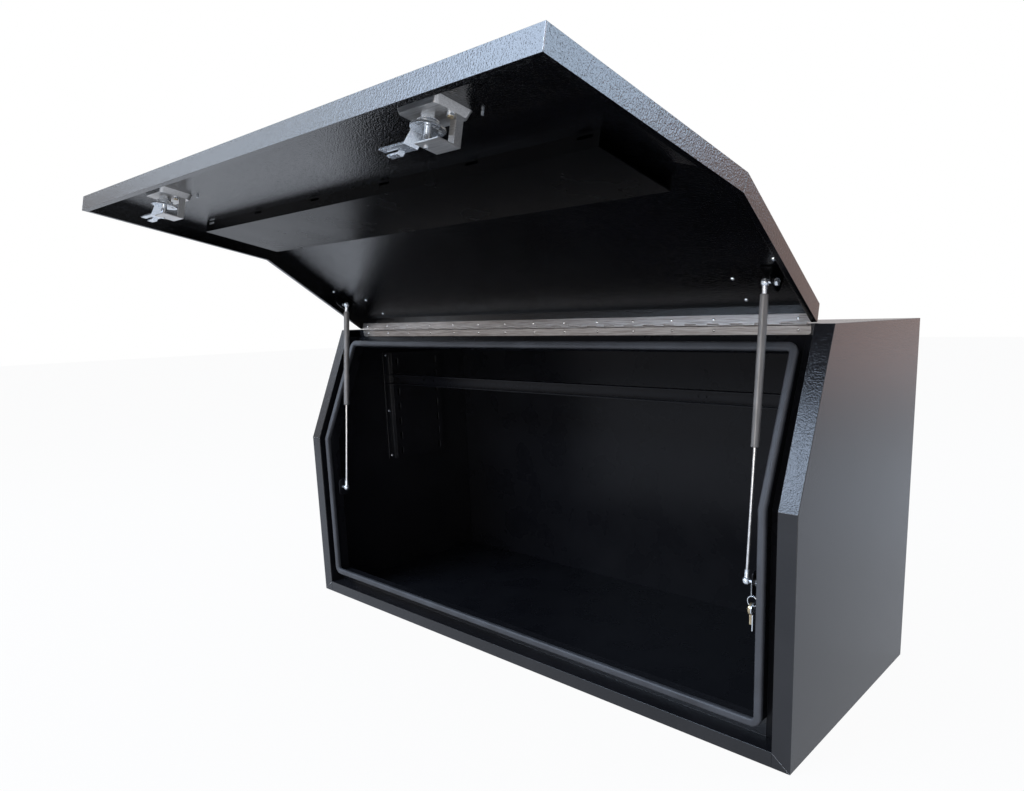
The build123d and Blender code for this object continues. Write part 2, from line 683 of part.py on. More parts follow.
# Gas struts, drawn at the length they have with the lid open
for side_name, side in SIDES.items():
    foot_ball = Vector(side * STRUT_X, *lower_ball)
    head_ball = Vector(side * STRUT_X, open_ball.Y, open_ball.Z)
    line = head_ball - foot_ball
    strut = Plane(origin=foot_ball, x_dir=(-side, 0, 0), z_dir=line)
    head = Plane(origin=head_ball, x_dir=(-side, 0, 0), z_dir=line)
    tube_start = line.length - FITTING_LENGTH - TUBE_LENGTH
    bore = TUBE_RADIUS - TUBE_WALL

    with BuildPart(strut) as rod_end:
        Sphere(SOCKET_RADIUS)
        with Locations((0, 0, FITTING_LENGTH / 2)):
            Cylinder(SOCKET_STEM, FITTING_LENGTH)
        Sphere(BALL_RADIUS + BALL_CLEARANCE, mode=Mode.SUBTRACT)
        with Locations((-SOCKET_RADIUS, 0, 0)):
            Cylinder(SOCKET_MOUTH, 2 * SOCKET_RADIUS, rotation=(0, 90, 0), mode=Mode.SUBTRACT)
    rod_end.part.label = f"{side_name}_strut_rod_end"
    export_step(rod_end.part, f"parts/{side_name}_strut_rod_end.step")

    with BuildPart() as strut_rod:
        rod_top = tube_start + ROD_ENGAGED
        with BuildSketch(strut.offset(FITTING_LENGTH)):
            Circle(ROD_RADIUS)
        extrude(amount=rod_top - FITTING_LENGTH)
        with BuildSketch(strut.offset(rod_top - PISTON)):
            Circle(bore - ROD_CLEARANCE)
        extrude(amount=PISTON)
    strut_rod.part.label = f"{side_name}_strut_rod"
    export_step(strut_rod.part, f"parts/{side_name}_strut_rod.step")

    with BuildPart() as strut_tube:
        with BuildSketch(strut.offset(tube_start)):
            Circle(TUBE_RADIUS)
        extrude(amount=TUBE_LENGTH)
        chamfer(strut_tube.edges().filter_by(GeomType.CIRCLE), TUBE_WALL)
        with BuildSketch(strut.offset(tube_start + TUBE_COLLAR)):
            Circle(bore)
        extrude(amount=TUBE_LENGTH - 2 * TUBE_COLLAR, mode=Mode.SUBTRACT)
        with BuildSketch(strut.offset(tube_start)):
            Circle(ROD_RADIUS + ROD_CLEARANCE)
        extrude(amount=TUBE_COLLAR, mode=Mode.SUBTRACT)
    strut_tube.part.label = f"{side_name}_strut_tube"
    export_step(strut_tube.part, f"parts/{side_name}_strut_tube.step")

    with BuildPart(head) as tube_end:
        Sphere(SOCKET_RADIUS)
        with Locations((0, 0, -FITTING_LENGTH / 2)):
            Cylinder(SOCKET_STEM, FITTING_LENGTH)
        neck_length = TAB_GAP - NECK_GAP
        with Locations((-neck_length / 2, 0, 0)):
            Cylinder(NECK_RADIUS, neck_length, rotation=(0, 90, 0))
    tube_end.part.label = f"{side_name}_strut_tube_end"
    export_step(tube_end.part, f"parts/{side_name}_strut_tube_end.step")
    print(side_name, "strut", [round(v, 4) for v in foot_ball], [round(v, 4) for v in head_ball])

# Turn locks, alike at both ends of the lid, each in a pressed dish
for side_name, side in SIDES.items():
    dish_x = side * LOCK_X
    axis_x = dish_x + SPINDLE_X
    axis_z = LOCK_Z + SPINDLE_Z

    def at_depth(depth, x=dish_x, z=LOCK_Z):
        """A plane parallel to the lower face of the lid, centred on the dish or on x and z."""
        return on_lid(Plane(origin=(x, FRONT_Y + depth, z), x_dir=(1, 0, 0), z_dir=(0, -1, 0)))

    def dish_form(depth, width, height, corner):
        """One rounded cross-section of the dish."""
        with BuildSketch(at_depth(depth)) as form:
            RectangleRounded(width, height, corner)
        return form.sketch

    def cylinder(radius, front, back, x=axis_x, z=axis_z, mode=Mode.ADD):
        """A round bar square to the lid between two depths."""
        with BuildSketch(at_depth(front, x, z)) as disc:
            Circle(radius)
        extrude(disc.sketch, amount=front - back, mode=mode)

    key_x = dish_x + KEYWAY_X
    key_z = LOCK_Z + KEYWAY_Z
    with BuildPart() as lock_dish:
        rim = dish_form(0, DISH_WIDTH + 2 * DISH_RIM, DISH_HEIGHT + 2 * DISH_RIM, DISH_CORNER + DISH_RIM)
        extrude(rim, amount=DISH_SHEET)
        floor_width = DISH_WIDTH - 2 * DISH_TAPER
        floor_height = DISH_HEIGHT - 2 * DISH_TAPER
        wall = 2 * DISH_SHEET
        outer_mouth = dish_form(0, DISH_WIDTH, DISH_HEIGHT, DISH_CORNER)
        outer_floor = dish_form(DISH_DEPTH, floor_width, floor_height, DISH_CORNER)
        loft([outer_mouth, outer_floor])
        inner_corner = DISH_CORNER - DISH_SHEET
        inner_mouth = dish_form(-DISH_SHEET, DISH_WIDTH - wall, DISH_HEIGHT - wall, inner_corner)
        floor_front = DISH_DEPTH - DISH_SHEET
        inner_floor = dish_form(floor_front, floor_width - wall, floor_height - wall, inner_corner)
        loft([inner_mouth, inner_floor], mode=Mode.SUBTRACT)
        cylinder(SPINDLE_RADIUS + SPINDLE_CLEARANCE, 0, DISH_DEPTH, mode=Mode.SUBTRACT)
        cylinder(KEY_HOUSING_RADIUS + KEY_CLEARANCE, 0, DISH_DEPTH, key_x, key_z, Mode.SUBTRACT)
    lock_dish.part.label = f"{side_name}_lock_dish"
    export_step(lock_dish.part, f"parts/{side_name}_lock_dish.step")

    with BuildPart() as lock_bearing:
        bearing_back = DISC_DEPTH - CAM_SHEET
        with BuildSketch(at_depth(DISH_DEPTH, axis_x, axis_z)) as flats:
            RegularPolygon(BEARING_RADIUS, 6)
        extrude(flats.sketch, amount=-NUT_HEIGHT)
        cylinder(BEARING_RADIUS - CAM_SHEET, DISH_DEPTH, bearing_back)
        cylinder(SPINDLE_RADIUS + SPINDLE_CLEARANCE, DISH_DEPTH, bearing_back, mode=Mode.SUBTRACT)
    lock_bearing.part.label = f"{side_name}_lock_bearing"
    export_step(lock_bearing.part, f"parts/{side_name}_lock_bearing.step")

    with BuildPart() as lock_bracket:
        wall_z = LOCK_Z + BRACKET_Z
        strap_back = FRONT_Y + STRAP_DEPTH
        strap_front = strap_back - SHEET
        right = dish_x + BRACKET_RIGHT
        web = rectangle(FRONT_Y + DISH_DEPTH, strap_back, wall_z, wall_z + SHEET)
        section(web, dish_x + BRACKET_LEFT, right, on_lid)
        strap = rectangle(strap_front, strap_back, axis_z + STRAP_LOW, wall_z + SHEET)
        section(strap, dish_x + STRAP_LEFT, right, on_lid)
        lip = rectangle(FRONT_Y + DISH_DEPTH, strap_back, wall_z - BRACKET_LIP, wall_z + SHEET)
        section(lip, right - SHEET, right, on_lid)
        tail_hole = TAIL_RADIUS + SPINDLE_CLEARANCE
        cylinder(tail_hole, STRAP_DEPTH - SHEET, STRAP_DEPTH, mode=Mode.SUBTRACT)
    lock_bracket.part.label = f"{side_name}_lock_bracket"
    export_step(lock_bracket.part, f"parts/{side_name}_lock_bracket.step")

    with BuildPart() as key_housing:
        cylinder(KEY_HOUSING_RADIUS, KEY_FRONT, KEY_BACK - SHEET, key_x, key_z)
        key_bore = KEY_PLUG_RADIUS + KEY_CLEARANCE
        cylinder(key_bore, KEY_FRONT, KEY_BACK - SHEET, key_x, key_z, Mode.SUBTRACT)
    key_housing.part.label = f"{side_name}_key_housing"
    export_step(key_housing.part, f"parts/{side_name}_key_housing.step")

    with BuildPart() as key_plug:
        cylinder(KEY_PLUG_RADIUS, KEY_FRONT, KEY_BACK, key_x, key_z)
        with BuildSketch(at_depth(KEY_FRONT, key_x, key_z)) as keyway:
            Rectangle(KEY_SLOT_WIDTH, KEY_PLUG_RADIUS)
        extrude(keyway.sketch, amount=-KEY_SLOT_DEPTH, mode=Mode.SUBTRACT)
    key_plug.part.label = f"{side_name}_key_plug"
    export_step(key_plug.part, f"parts/{side_name}_key_plug.step")

    with BuildPart() as lock_spindle:
        cylinder(HEAD_RADIUS, HEAD_FRONT, HEAD_BACK)
        cylinder(SPINDLE_RADIUS, HEAD_BACK, STRAP_DEPTH - SHEET - ARM_GAP)
        cylinder(TAIL_RADIUS, STRAP_DEPTH - SHEET - ARM_GAP, STRAP_DEPTH + SHEET)
        # Slot for the stem of the handle, open outwards and towards the top of the lid
        slot_width = HANDLE_STEM + 2 * HANDLE_FIT
        slot_low = axis_z - HANDLE_THICK / 2 - HANDLE_FIT
        slot_back = FRONT_Y + FOLD_DEPTH + HANDLE_THICK / 2 + HANDLE_FIT
        slot = rectangle(FRONT_Y, slot_back, slot_low, axis_z + HEAD_RADIUS)
        section(slot, axis_x - slot_width / 2, axis_x + slot_width / 2, on_lid, Mode.SUBTRACT)
        with BuildSketch(on_lid(Plane.YZ.offset(axis_x - HEAD_RADIUS))) as pin_hole:
            with Locations((FRONT_Y + FOLD_DEPTH, axis_z)):
                Circle(FOLD_PIN_RADIUS + PIN_CLEARANCE)
        extrude(pin_hole.sketch, amount=2 * HEAD_RADIUS, mode=Mode.SUBTRACT)
    lock_spindle.part.label = f"{side_name}_lock_spindle"
    export_step(lock_spindle.part, f"parts/{side_name}_lock_spindle.step")

    with BuildPart() as fold_pin:
        pin_half = HEAD_RADIUS - HANDLE_FIT
        with BuildSketch(on_lid(Plane.YZ.offset(axis_x - pin_half))) as pin_face:
            with Locations((FRONT_Y + FOLD_DEPTH, axis_z)):
                Circle(FOLD_PIN_RADIUS)
        extrude(pin_face.sketch, amount=2 * pin_half)
    fold_pin.part.label = f"{side_name}_fold_pin"
    export_step(fold_pin.part, f"parts/{side_name}_fold_pin.step")

    with BuildPart() as lock_handle:
        # Seen from below, the handle is a T whose stem ends in an eye round the fold pin
        tee_plane = Plane(origin=(axis_x, FRONT_Y + FOLD_DEPTH, axis_z - HANDLE_THICK / 2))
        with BuildSketch(on_lid(tee_plane)) as tee:
            with Locations((0, -HANDLE_LENGTH + HANDLE_BAR / 2)):
                RectangleRounded(HANDLE_WIDTH, HANDLE_BAR, HANDLE_CORNER)
            stem_length = HANDLE_LENGTH - HANDLE_BAR / 2
            with Locations((0, -stem_length / 2)):
                Rectangle(HANDLE_STEM, stem_length)
        extrude(tee.sketch, amount=HANDLE_THICK)
        with BuildSketch(on_lid(Plane.YZ.offset(axis_x - HANDLE_STEM / 2))) as eye:
            with Locations((FRONT_Y + FOLD_DEPTH, axis_z)):
                Circle(HANDLE_THICK / 2)
        extrude(eye.sketch, amount=HANDLE_STEM)
        with BuildSketch(on_lid(Plane.YZ.offset(axis_x - HANDLE_STEM / 2))) as eye_hole:
            with Locations((FRONT_Y + FOLD_DEPTH, axis_z)):
                Circle(FOLD_PIN_RADIUS + PIN_CLEARANCE)
        extrude(eye_hole.sketch, amount=HANDLE_STEM, mode=Mode.SUBTRACT)
    lock_handle.part.label = f"{side_name}_lock_handle"
    export_step(lock_handle.part, f"parts/{side_name}_lock_handle.step")

    with BuildPart() as lock_cam:
        cylinder(DISC_RADIUS, DISC_DEPTH, DISC_DEPTH + CAM_SHEET)
        # The arm steps back far enough to pass behind the gutter of the sill
        arm_depth = GUTTER_BACK + ARM_GAP
        for low, deep in ((-ARM_WIDTH / 2, 0), (PRONG_SLOT / 2, PRONG_STEP)):
            run = [
                (-ARM_JOG_START, DISC_DEPTH),
                (-ARM_JOG_END, arm_depth),
                (-PRONG_START, arm_depth),
                (-PRONG_START - PRONG_STEP, arm_depth + deep),
                (-ARM_LENGTH, arm_depth + deep),
                (-ARM_LENGTH, arm_depth + deep + CAM_SHEET),
                (-PRONG_START - PRONG_STEP, arm_depth + deep + CAM_SHEET),
                (-PRONG_START, arm_depth + CAM_SHEET),
                (-ARM_JOG_END, arm_depth + CAM_SHEET),
                (-ARM_JOG_START, DISC_DEPTH + CAM_SHEET),
            ]
            with BuildSketch(on_lid(Plane(origin=(axis_x, FRONT_Y, axis_z + low)))) as arm:
                with BuildLine():
                    Polyline(*run, close=True)
                make_face()
            extrude(arm.sketch, amount=ARM_WIDTH / 2 - PRONG_SLOT / 2)
        with BuildSketch(on_lid(Plane(origin=(axis_x, FRONT_Y, axis_z - ARM_WIDTH / 2)))) as root:
            with BuildLine():
                Polyline(
                    (-ARM_JOG_START, DISC_DEPTH),
                    (-ARM_JOG_END, arm_depth),
                    (-PRONG_START + PRONG_STEP, arm_depth),
                    (-PRONG_START + PRONG_STEP, arm_depth + CAM_SHEET),
                    (-ARM_JOG_END, arm_depth + CAM_SHEET),
                    (-ARM_JOG_START, DISC_DEPTH + CAM_SHEET),
                    close=True,
                )
            make_face()
        extrude(root.sketch, amount=ARM_WIDTH)
        with BuildSketch(at_depth(DISC_DEPTH, axis_x, axis_z)) as shoulder:
            with Locations((-ARM_JOG_START / 2, 0)):
                Rectangle(ARM_JOG_START, ARM_WIDTH)
        extrude(shoulder.sketch, amount=-CAM_SHEET)
        with BuildSketch(at_depth(DISC_DEPTH, axis_x, axis_z)) as holes:
            with PolarLocations(DISC_HOLE_CIRCLE, DISC_HOLES, -90, DISC_HOLE_STEP * (DISC_HOLES - 1)):
                Circle(DISC_HOLE_RADIUS)
        extrude(holes.sketch, amount=-CAM_SHEET, mode=Mode.SUBTRACT)
        cylinder(SPINDLE_RADIUS + SPINDLE_CLEARANCE, DISC_DEPTH, STRAP_DEPTH, mode=Mode.SUBTRACT)
    lock_cam.part.label = f"{side_name}_lock_cam"
    export_step(lock_cam.part, f"parts/{side_name}_lock_cam.step")

# Slotted shelf tracks on the end panels, and the rail across the back
wall_x = WIDTH / 2 - SHEET
track_y = FRONT_Y + TRACK_SETBACK
face_front = track_y + TRACK_FLANGE
face_back = face_front + TRACK_FACE
for side_name, side in SIDES.items():
    with BuildPart() as shelf_track:
        plan = [
            (wall_x, track_y),
            (wall_x, face_front + SHEET),
            (wall_x - TRACK_PROJECTION + SHEET, face_front + SHEET),
            (wall_x - TRACK_PROJECTION + SHEET, face_back - SHEET),
            (wall_x, face_back - SHEET),
            (wall_x, face_back + TRACK_FLANGE),
            (wall_x - SHEET, face_back + TRACK_FLANGE),
            (wall_x - SHEET, face_back),
            (wall_x - TRACK_PROJECTION, face_back),
            (wall_x - TRACK_PROJECTION, face_front),
            (wall_x - SHEET, face_front),
            (wall_x - SHEET, track_y),
        ]
        with BuildSketch(Plane.XY.offset(TRACK_LOW)) as hat:
            with BuildLine():
                Polyline(*[(side * x, y) for x, y in plan], close=True)
            make_face()
        extrude(hat.sketch, amount=TRACK_HIGH - TRACK_LOW)
        slot_x = side * (wall_x - TRACK_PROJECTION)
        face = Plane(origin=(slot_x, 0, 0), x_dir=(0, 1, 0), z_dir=(1, 0, 0))
        slot_mid = SLOT_TOP - SLOT_PITCH * (SLOT_ROWS - 1) / 2
        with BuildSketch(face) as slots:
            with Locations(((face_front + face_back) / 2, slot_mid)):
                with GridLocations(TRACK_FACE - 2 * SLOT_INSET, SLOT_PITCH, 2, SLOT_ROWS):
                    Rectangle(SLOT_WIDTH, SLOT_HEIGHT)
        extrude(slots.sketch, amount=side * SHEET, mode=Mode.SUBTRACT)
    shelf_track.part.label = f"{side_name}_shelf_track"
    export_step(shelf_track.part, f"parts/{side_name}_shelf_track.step")

with BuildPart() as track_rivets:
    for side in SIDES.values():
        flange_face = Plane(origin=(side * (wall_x - SHEET), 0, 0), x_dir=(0, 1, 0), z_dir=(-side, 0, 0))
        up = 1 if flange_face.y_dir.Z > 0 else -1
        columns = (track_y + TRACK_FLANGE / 2, face_back + TRACK_FLANGE / 2)
        spots = [(y, up * z) for y in columns for z in TRACK_RIVET_HEIGHTS]
        dome_heads(flange_face, spots, RIVET_RADIUS, RIVET_HEAD)
track_rivets.part.label = "track_rivets"
export_step(track_rivets.part, "parts/track_rivets.step")

with BuildPart() as cross_rail:
    rail_front = FRONT_Y + RAIL_SETBACK
    rail_back = rail_front + RAIL_DEPTH
    rail_high = RAIL_LOW + RAIL_HEIGHT
    channel = [
        (rail_front, RAIL_LOW),
        (rail_back, RAIL_LOW),
        (rail_back, rail_high),
        (rail_front, rail_high),
        (rail_front, rail_high - SHEET),
        (rail_back - SHEET, rail_high - SHEET),
        (rail_back - SHEET, RAIL_LOW + SHEET),
        (rail_front, RAIL_LOW + SHEET),
    ]
    rail_half = wall_x - TRACK_PROJECTION
    section(channel, -rail_half, rail_half)
    hole_xs = [x - rail_half for x in RAIL_HOLES_LEFT] + [rail_half - x for x in RAIL_HOLES_RIGHT]
    with BuildSketch(Plane.XZ.offset(-rail_back)) as holes:
        with Locations(*[(x, RAIL_LOW + RAIL_HEIGHT / 2) for x in hole_xs]):
            Circle(RAIL_HOLE_RADIUS)
    extrude(holes.sketch, amount=SHEET, mode=Mode.SUBTRACT)
cross_rail.part.label = "cross_rail"
export_step(cross_rail.part, "parts/cross_rail.step")

# Keys that hang by a wire loop from the neck of the lower right ball stud
loop_top = LOWER_BALL_Z + NECK_RADIUS + WIRE_RADIUS - LOOP_RADIUS
loop_low = loop_top - LOOP_DROP
with BuildPart() as key_wire:
    with BuildLine(Plane.YZ.offset(KEY_X)) as loop:
        upper_arc = CenterArc((lower_ball[0], loop_top), LOOP_RADIUS, 0, 180)
        lower_arc = CenterArc((lower_ball[0], loop_low), LOOP_RADIUS, 180, 180)
        Line(upper_arc @ 1, lower_arc @ 0)
        Line(lower_arc @ 1, upper_arc @ 0)
    wire_start = Plane(origin=(KEY_X, lower_ball[0] + LOOP_RADIUS, loop_low), z_dir=(0, 0, 1))
    with BuildSketch(wire_start) as wire:
        Circle(WIRE_RADIUS)
    sweep(sections=wire.sketch, path=loop.wire())
key_wire.part.label = "key_wire"
export_step(key_wire.part, "parts/key_wire.step")

ring_top = loop_low - LOOP_RADIUS + WIRE_RADIUS + RING_WIRE
ring_z = ring_top - RING_RADIUS
with BuildPart() as key_ring:
    with Locations((KEY_X, lower_ball[0], ring_z)):
        Torus(RING_RADIUS, RING_WIRE, rotation=(90, 0, 0))
key_ring.part.label = "key_ring"
export_step(key_ring.part, "parts/key_ring.step")

key_eye = ring_z - RING_RADIUS


def key(x, length):
    """A flat key that hangs from the ring by the eye in its bow."""
    eye_z = key_eye - RING_WIRE + KEY_EYE - KEY_PLAY
    bow_z = eye_z - KEY_BOW / 2
    with BuildSketch(Plane.YZ.offset(x - KEY_SHEET / 2)) as blank:
        with Locations((lower_ball[0], bow_z)):
            Circle(KEY_BOW)
        blade = length - 2 * KEY_BOW
        with Locations((lower_ball[0], bow_z - KEY_BOW - blade / 2 + RING_WIRE)):
            Rectangle(KEY_BLADE, blade + 2 * RING_WIRE)
        with Locations((lower_ball[0], eye_z)):
            Circle(KEY_EYE, mode=Mode.SUBTRACT)
    extrude(blank.sketch, amount=KEY_SHEET)


with BuildPart() as brass_keys:
    key(KEY_X - KEY_SPACING, BRASS_KEY)
    key(KEY_X, BRASS_KEY)
brass_keys.part.label = "brass_keys"
export_step(brass_keys.part, "parts/brass_keys.step")

with BuildPart() as steel_key:
    key(KEY_X + KEY_SPACING, STEEL_KEY)
steel_key.part.label = "steel_key"
export_step(steel_key.part, "parts/steel_key.step")
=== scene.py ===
# %% [markdown]
# # A full lid tool box, dressed around its CAD frame
# The box is folded from 2 mm sheet and powder coated gloss black. Its whole front is one cranked lid,
# held open by two gas struts. The CAD gives every piece at its real size. This file gives the pieces
# their folds, welds, fasteners and finishes, and then the light and the camera.

# %% Load the frame
import json
import math
import bmesh
import bpy
from mathutils import Matrix, Vector


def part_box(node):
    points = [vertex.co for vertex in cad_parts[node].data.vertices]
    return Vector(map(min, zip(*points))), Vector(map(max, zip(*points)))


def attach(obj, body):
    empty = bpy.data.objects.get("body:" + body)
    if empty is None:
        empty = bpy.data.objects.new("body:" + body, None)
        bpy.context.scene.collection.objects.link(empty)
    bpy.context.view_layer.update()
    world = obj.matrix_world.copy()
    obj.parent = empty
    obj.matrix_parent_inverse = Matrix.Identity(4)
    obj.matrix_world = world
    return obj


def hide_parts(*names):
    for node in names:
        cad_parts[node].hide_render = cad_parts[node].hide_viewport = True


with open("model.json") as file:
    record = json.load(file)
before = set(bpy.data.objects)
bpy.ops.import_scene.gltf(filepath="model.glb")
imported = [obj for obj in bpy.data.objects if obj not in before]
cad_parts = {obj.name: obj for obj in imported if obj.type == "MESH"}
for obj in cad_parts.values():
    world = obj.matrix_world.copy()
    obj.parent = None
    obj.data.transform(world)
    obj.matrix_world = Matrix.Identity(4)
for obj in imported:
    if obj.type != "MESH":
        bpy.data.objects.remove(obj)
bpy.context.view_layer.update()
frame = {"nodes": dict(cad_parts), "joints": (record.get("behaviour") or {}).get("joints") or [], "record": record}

MM = 0.001
nodes = frame["nodes"]
joints = {joint["name"]: joint for joint in frame["joints"]}

# %% [markdown]
# ## Camera
# The photograph was taken with a wide lens from the right of the box, a little above its middle. A
# camera could be placed by eye, but here its place was worked out from the corners of the box, so that
# every piece falls where the photograph has it. A small shift of the lens stands for the crop.

# %% Camera
CAMERA_PLACE = Vector((1.2409, -1.4315, 0.8041))
CAMERA_YAW = math.radians(-41.44)
CAMERA_PITCH = math.radians(-10.37)
CAMERA_ROLL = math.radians(-1.53)
CAMERA_LENS = 26.0
CAMERA_SHIFT = (-0.0512, 0.0546)
SENSOR_WIDTH = 36.0
NEAREST_SEEN = 0.05

bpy.ops.object.camera_add(location=CAMERA_PLACE)
camera = bpy.context.object
forward = Vector((math.sin(CAMERA_YAW) * math.cos(CAMERA_PITCH),
                  math.cos(CAMERA_YAW) * math.cos(CAMERA_PITCH),
                  math.sin(CAMERA_PITCH)))
level = Vector((math.cos(CAMERA_YAW), -math.sin(CAMERA_YAW), 0))
upright = level.cross(forward)
right = level * math.cos(CAMERA_ROLL) + upright * math.sin(CAMERA_ROLL)
up = upright * math.cos(CAMERA_ROLL) - level * math.sin(CAMERA_ROLL)
turn = Matrix((right, up, -forward)).transposed()
camera.rotation_euler = turn.to_euler()
camera.data.lens = CAMERA_LENS
camera.data.sensor_width = SENSOR_WIDTH
camera.data.shift_x, camera.data.shift_y = CAMERA_SHIFT
camera.data.clip_start = NEAREST_SEEN
bpy.context.scene.camera = camera
bpy.context.scene.view_settings.view_transform = "Standard"
print("camera at", tuple(camera.location), "lens", camera.data.lens)

# %% [markdown]
# ## Helpers for materials
# Every finish here starts as a Principled shader. Its pattern could be painted on a flat image, but then
# the folded sheet would need unwrapping. So it is a noise read from Object coordinates: it stays on the
# metal when the lid swings, and it is given in metres, so it has its real scale. One noise can steer the
# colour, the gloss and the bump together, as dust, wear and grain do on a real finish.

# %% Material and noise
def base_material(name, colour, roughness, metallic=0.0):
    """A new material and its Principled shader."""
    material = bpy.data.materials.new(name)
    material.use_nodes = True
    shader = material.node_tree.nodes["Principled BSDF"]
    shader.inputs["Base Color"].default_value = (*colour, 1)
    shader.inputs["Roughness"].default_value = roughness
    shader.inputs["Metallic"].default_value = metallic
    return material, shader


def noise(tree, scale, detail, stretch=(1, 1, 1)):
    """The value of a noise texture on Object coordinates."""
    place = tree.nodes.new("ShaderNodeTexCoord")
    mapping = tree.nodes.new("ShaderNodeMapping")
    mapping.inputs["Scale"].default_value = stretch
    texture = tree.nodes.new("ShaderNodeTexNoise")
    texture.inputs["Scale"].default_value = scale
    texture.inputs["Detail"].default_value = detail
    tree.links.new(place.outputs["Object"], mapping.inputs["Vector"])
    tree.links.new(mapping.outputs["Vector"], texture.inputs["Vector"])
    return texture.outputs["Fac"]


def ramp(tree, source, stops):
    """The colour of a ramp with the given places and colours, fed by source."""
    node = tree.nodes.new("ShaderNodeValToRGB")
    elements = node.color_ramp.elements
    for element, (place, colour) in ((elements[0], stops[0]), (elements[1], stops[-1])):
        element.position = place
        element.color = (*colour, 1)
    for place, colour in stops[1:-1]:
        elements.new(place).color = (*colour, 1)
    tree.links.new(source, node.inputs["Fac"])
    return node.outputs["Color"]


# %% Wandering colour, gloss and bump
def wander(tree, shader, source, stops, roughness):
    """Lets the colour run through the stops, and the roughness through its range, with the source."""
    tree.links.new(ramp(tree, source, stops), shader.inputs["Base Color"])
    node = tree.nodes.new("ShaderNodeMapRange")
    node.inputs["To Min"].default_value, node.inputs["To Max"].default_value = roughness
    tree.links.new(source, node.inputs["Value"])
    tree.links.new(node.outputs["Result"], shader.inputs["Roughness"])


def bump(tree, shader, source, strength, distance):
    """A bump of the given depth in metres between the source and the shader."""
    node = tree.nodes.new("ShaderNodeBump")
    node.inputs["Strength"].default_value = strength
    node.inputs["Distance"].default_value = distance
    tree.links.new(source, node.inputs["Height"])
    tree.links.new(node.outputs["Normal"], shader.inputs["Normal"])


# %% [markdown]
# ## Gloss black powder coat
# The coat is a thick baked powder: nearly black, glossy, and finely pebbled, like the peel of an orange,
# so that reflections break up into small specks. A fine noise makes the pebbles, and a slow one lets the
# colour and the gloss wander. A flat black would lose every fold, because only reflections draw this box.
# The body and the lid have the full gloss, and inside the frame the coat is duller. The lid is coloured far
# darker than the body and the frame a little darker, as painted shade: the open lid and the inside of the box
# lie in shade. The fittings in the shadow of the lid get the darkest colour, also a painted shade.

# %% Gloss black powder coat
PEBBLE_SCALE, PEBBLE_DETAIL = 380.0, 1.5
CLOUD_SCALE, CLOUD_DETAIL = 9.0, 4.0
DUST_BELOW, DUST_ABOVE = 0.35, 0.75
DEEP_PEBBLES, FLAT_PEBBLES = 0.55 * MM, 0.2 * MM


def powder_coat(name, colour, dusty, gloss, pebble_depth, specular):
    """Black powder coat with its own range of gloss, depth of pebbles and strength of reflection."""
    material, shader = base_material(name, colour, gloss[0])
    tree = material.node_tree
    wander(tree, shader, noise(tree, CLOUD_SCALE, CLOUD_DETAIL),
           [(DUST_BELOW, colour), (DUST_ABOVE, dusty)], gloss)
    bump(tree, shader, noise(tree, PEBBLE_SCALE, PEBBLE_DETAIL), strength=1.0, distance=pebble_depth)
    shader.inputs["Specular IOR Level"].default_value = specular
    return material


coat_body = powder_coat("coat body", (0.008, 0.008, 0.0095), (0.013, 0.0125, 0.014),
                        gloss=(0.11, 0.19), pebble_depth=DEEP_PEBBLES, specular=0.55)
# The lid's coat is coloured far darker than the body's, a painted shade of the open lid.
coat_lid_painted_shade = powder_coat("coat lid painted shade", (0.001, 0.001, 0.0014), (0.003, 0.003, 0.0035),
                       gloss=(0.11, 0.18), pebble_depth=DEEP_PEBBLES, specular=0.65)
# The frame's coat is coloured a little darker than the body's, a painted shade of the inside of the box.
coat_frame_painted_shade = powder_coat("coat frame painted shade", (0.0065, 0.0065, 0.008), (0.010, 0.010, 0.0115),
                         gloss=(0.22, 0.34), pebble_depth=FLAT_PEBBLES, specular=0.16)
# The fittings' coat is coloured darkest, a painted shade for pieces in the shadow of the lid.
coat_fitting_painted_shade = powder_coat("coat fitting painted shade", (0.0015, 0.0015, 0.0018), (0.003, 0.003, 0.003),
                           gloss=(0.2, 0.32), pebble_depth=FLAT_PEBBLES, specular=0.1)
print("powder coats", [coat.name for coat in (coat_body, coat_lid_painted_shade, coat_frame_painted_shade, coat_fitting_painted_shade)])

# %% [markdown]
# ## Brushed and plated metal
# The hinge and the lock dishes are brushed stainless steel, drawn out along the box by a stretched noise.
# The cams, studs and nuts are bright zinc plate, cloudy and a little blue, and the strut rods are hard
# chrome. None of them is a perfect mirror, so each shader is metal for four fifths only, and the rest
# scatters light as the fine grain of real plate does.

# %% Brushed and plated metal
METAL_SHARE = 0.8
BRUSH_SCALE, BRUSH_DETAIL = 1100.0, 3.0
BRUSH_STRETCH = (0.02, 1.0, 1.0)
BRUSH_DARK, BRUSH_LIGHT = 0.36, 0.62
PLATE_MOTTLE, PLATE_DETAIL = 260.0, 4.0
PLATE_DARK, PLATE_LIGHT = 0.3, 0.68


def brushed_steel(name, dark, light, roughness):
    """Steel with fine brush lines along the box."""
    material, shader = base_material(name, light, roughness[0], METAL_SHARE)
    tree = material.node_tree
    lines = noise(tree, BRUSH_SCALE, BRUSH_DETAIL, BRUSH_STRETCH)
    wander(tree, shader, lines, [(BRUSH_DARK, dark), (BRUSH_LIGHT, light)], roughness)
    bump(tree, shader, lines, strength=0.18, distance=0.2 * MM)
    return material


def plated(name, dark, light, roughness, mottle=PLATE_MOTTLE):
    """Plated metal with a cloudy surface."""
    material, shader = base_material(name, light, roughness[0], METAL_SHARE)
    tree = material.node_tree
    cloud = noise(tree, mottle, PLATE_DETAIL)
    wander(tree, shader, cloud, [(PLATE_DARK, dark), (PLATE_LIGHT, light)], roughness)
    bump(tree, shader, cloud, strength=0.08, distance=0.3 * MM)
    return material


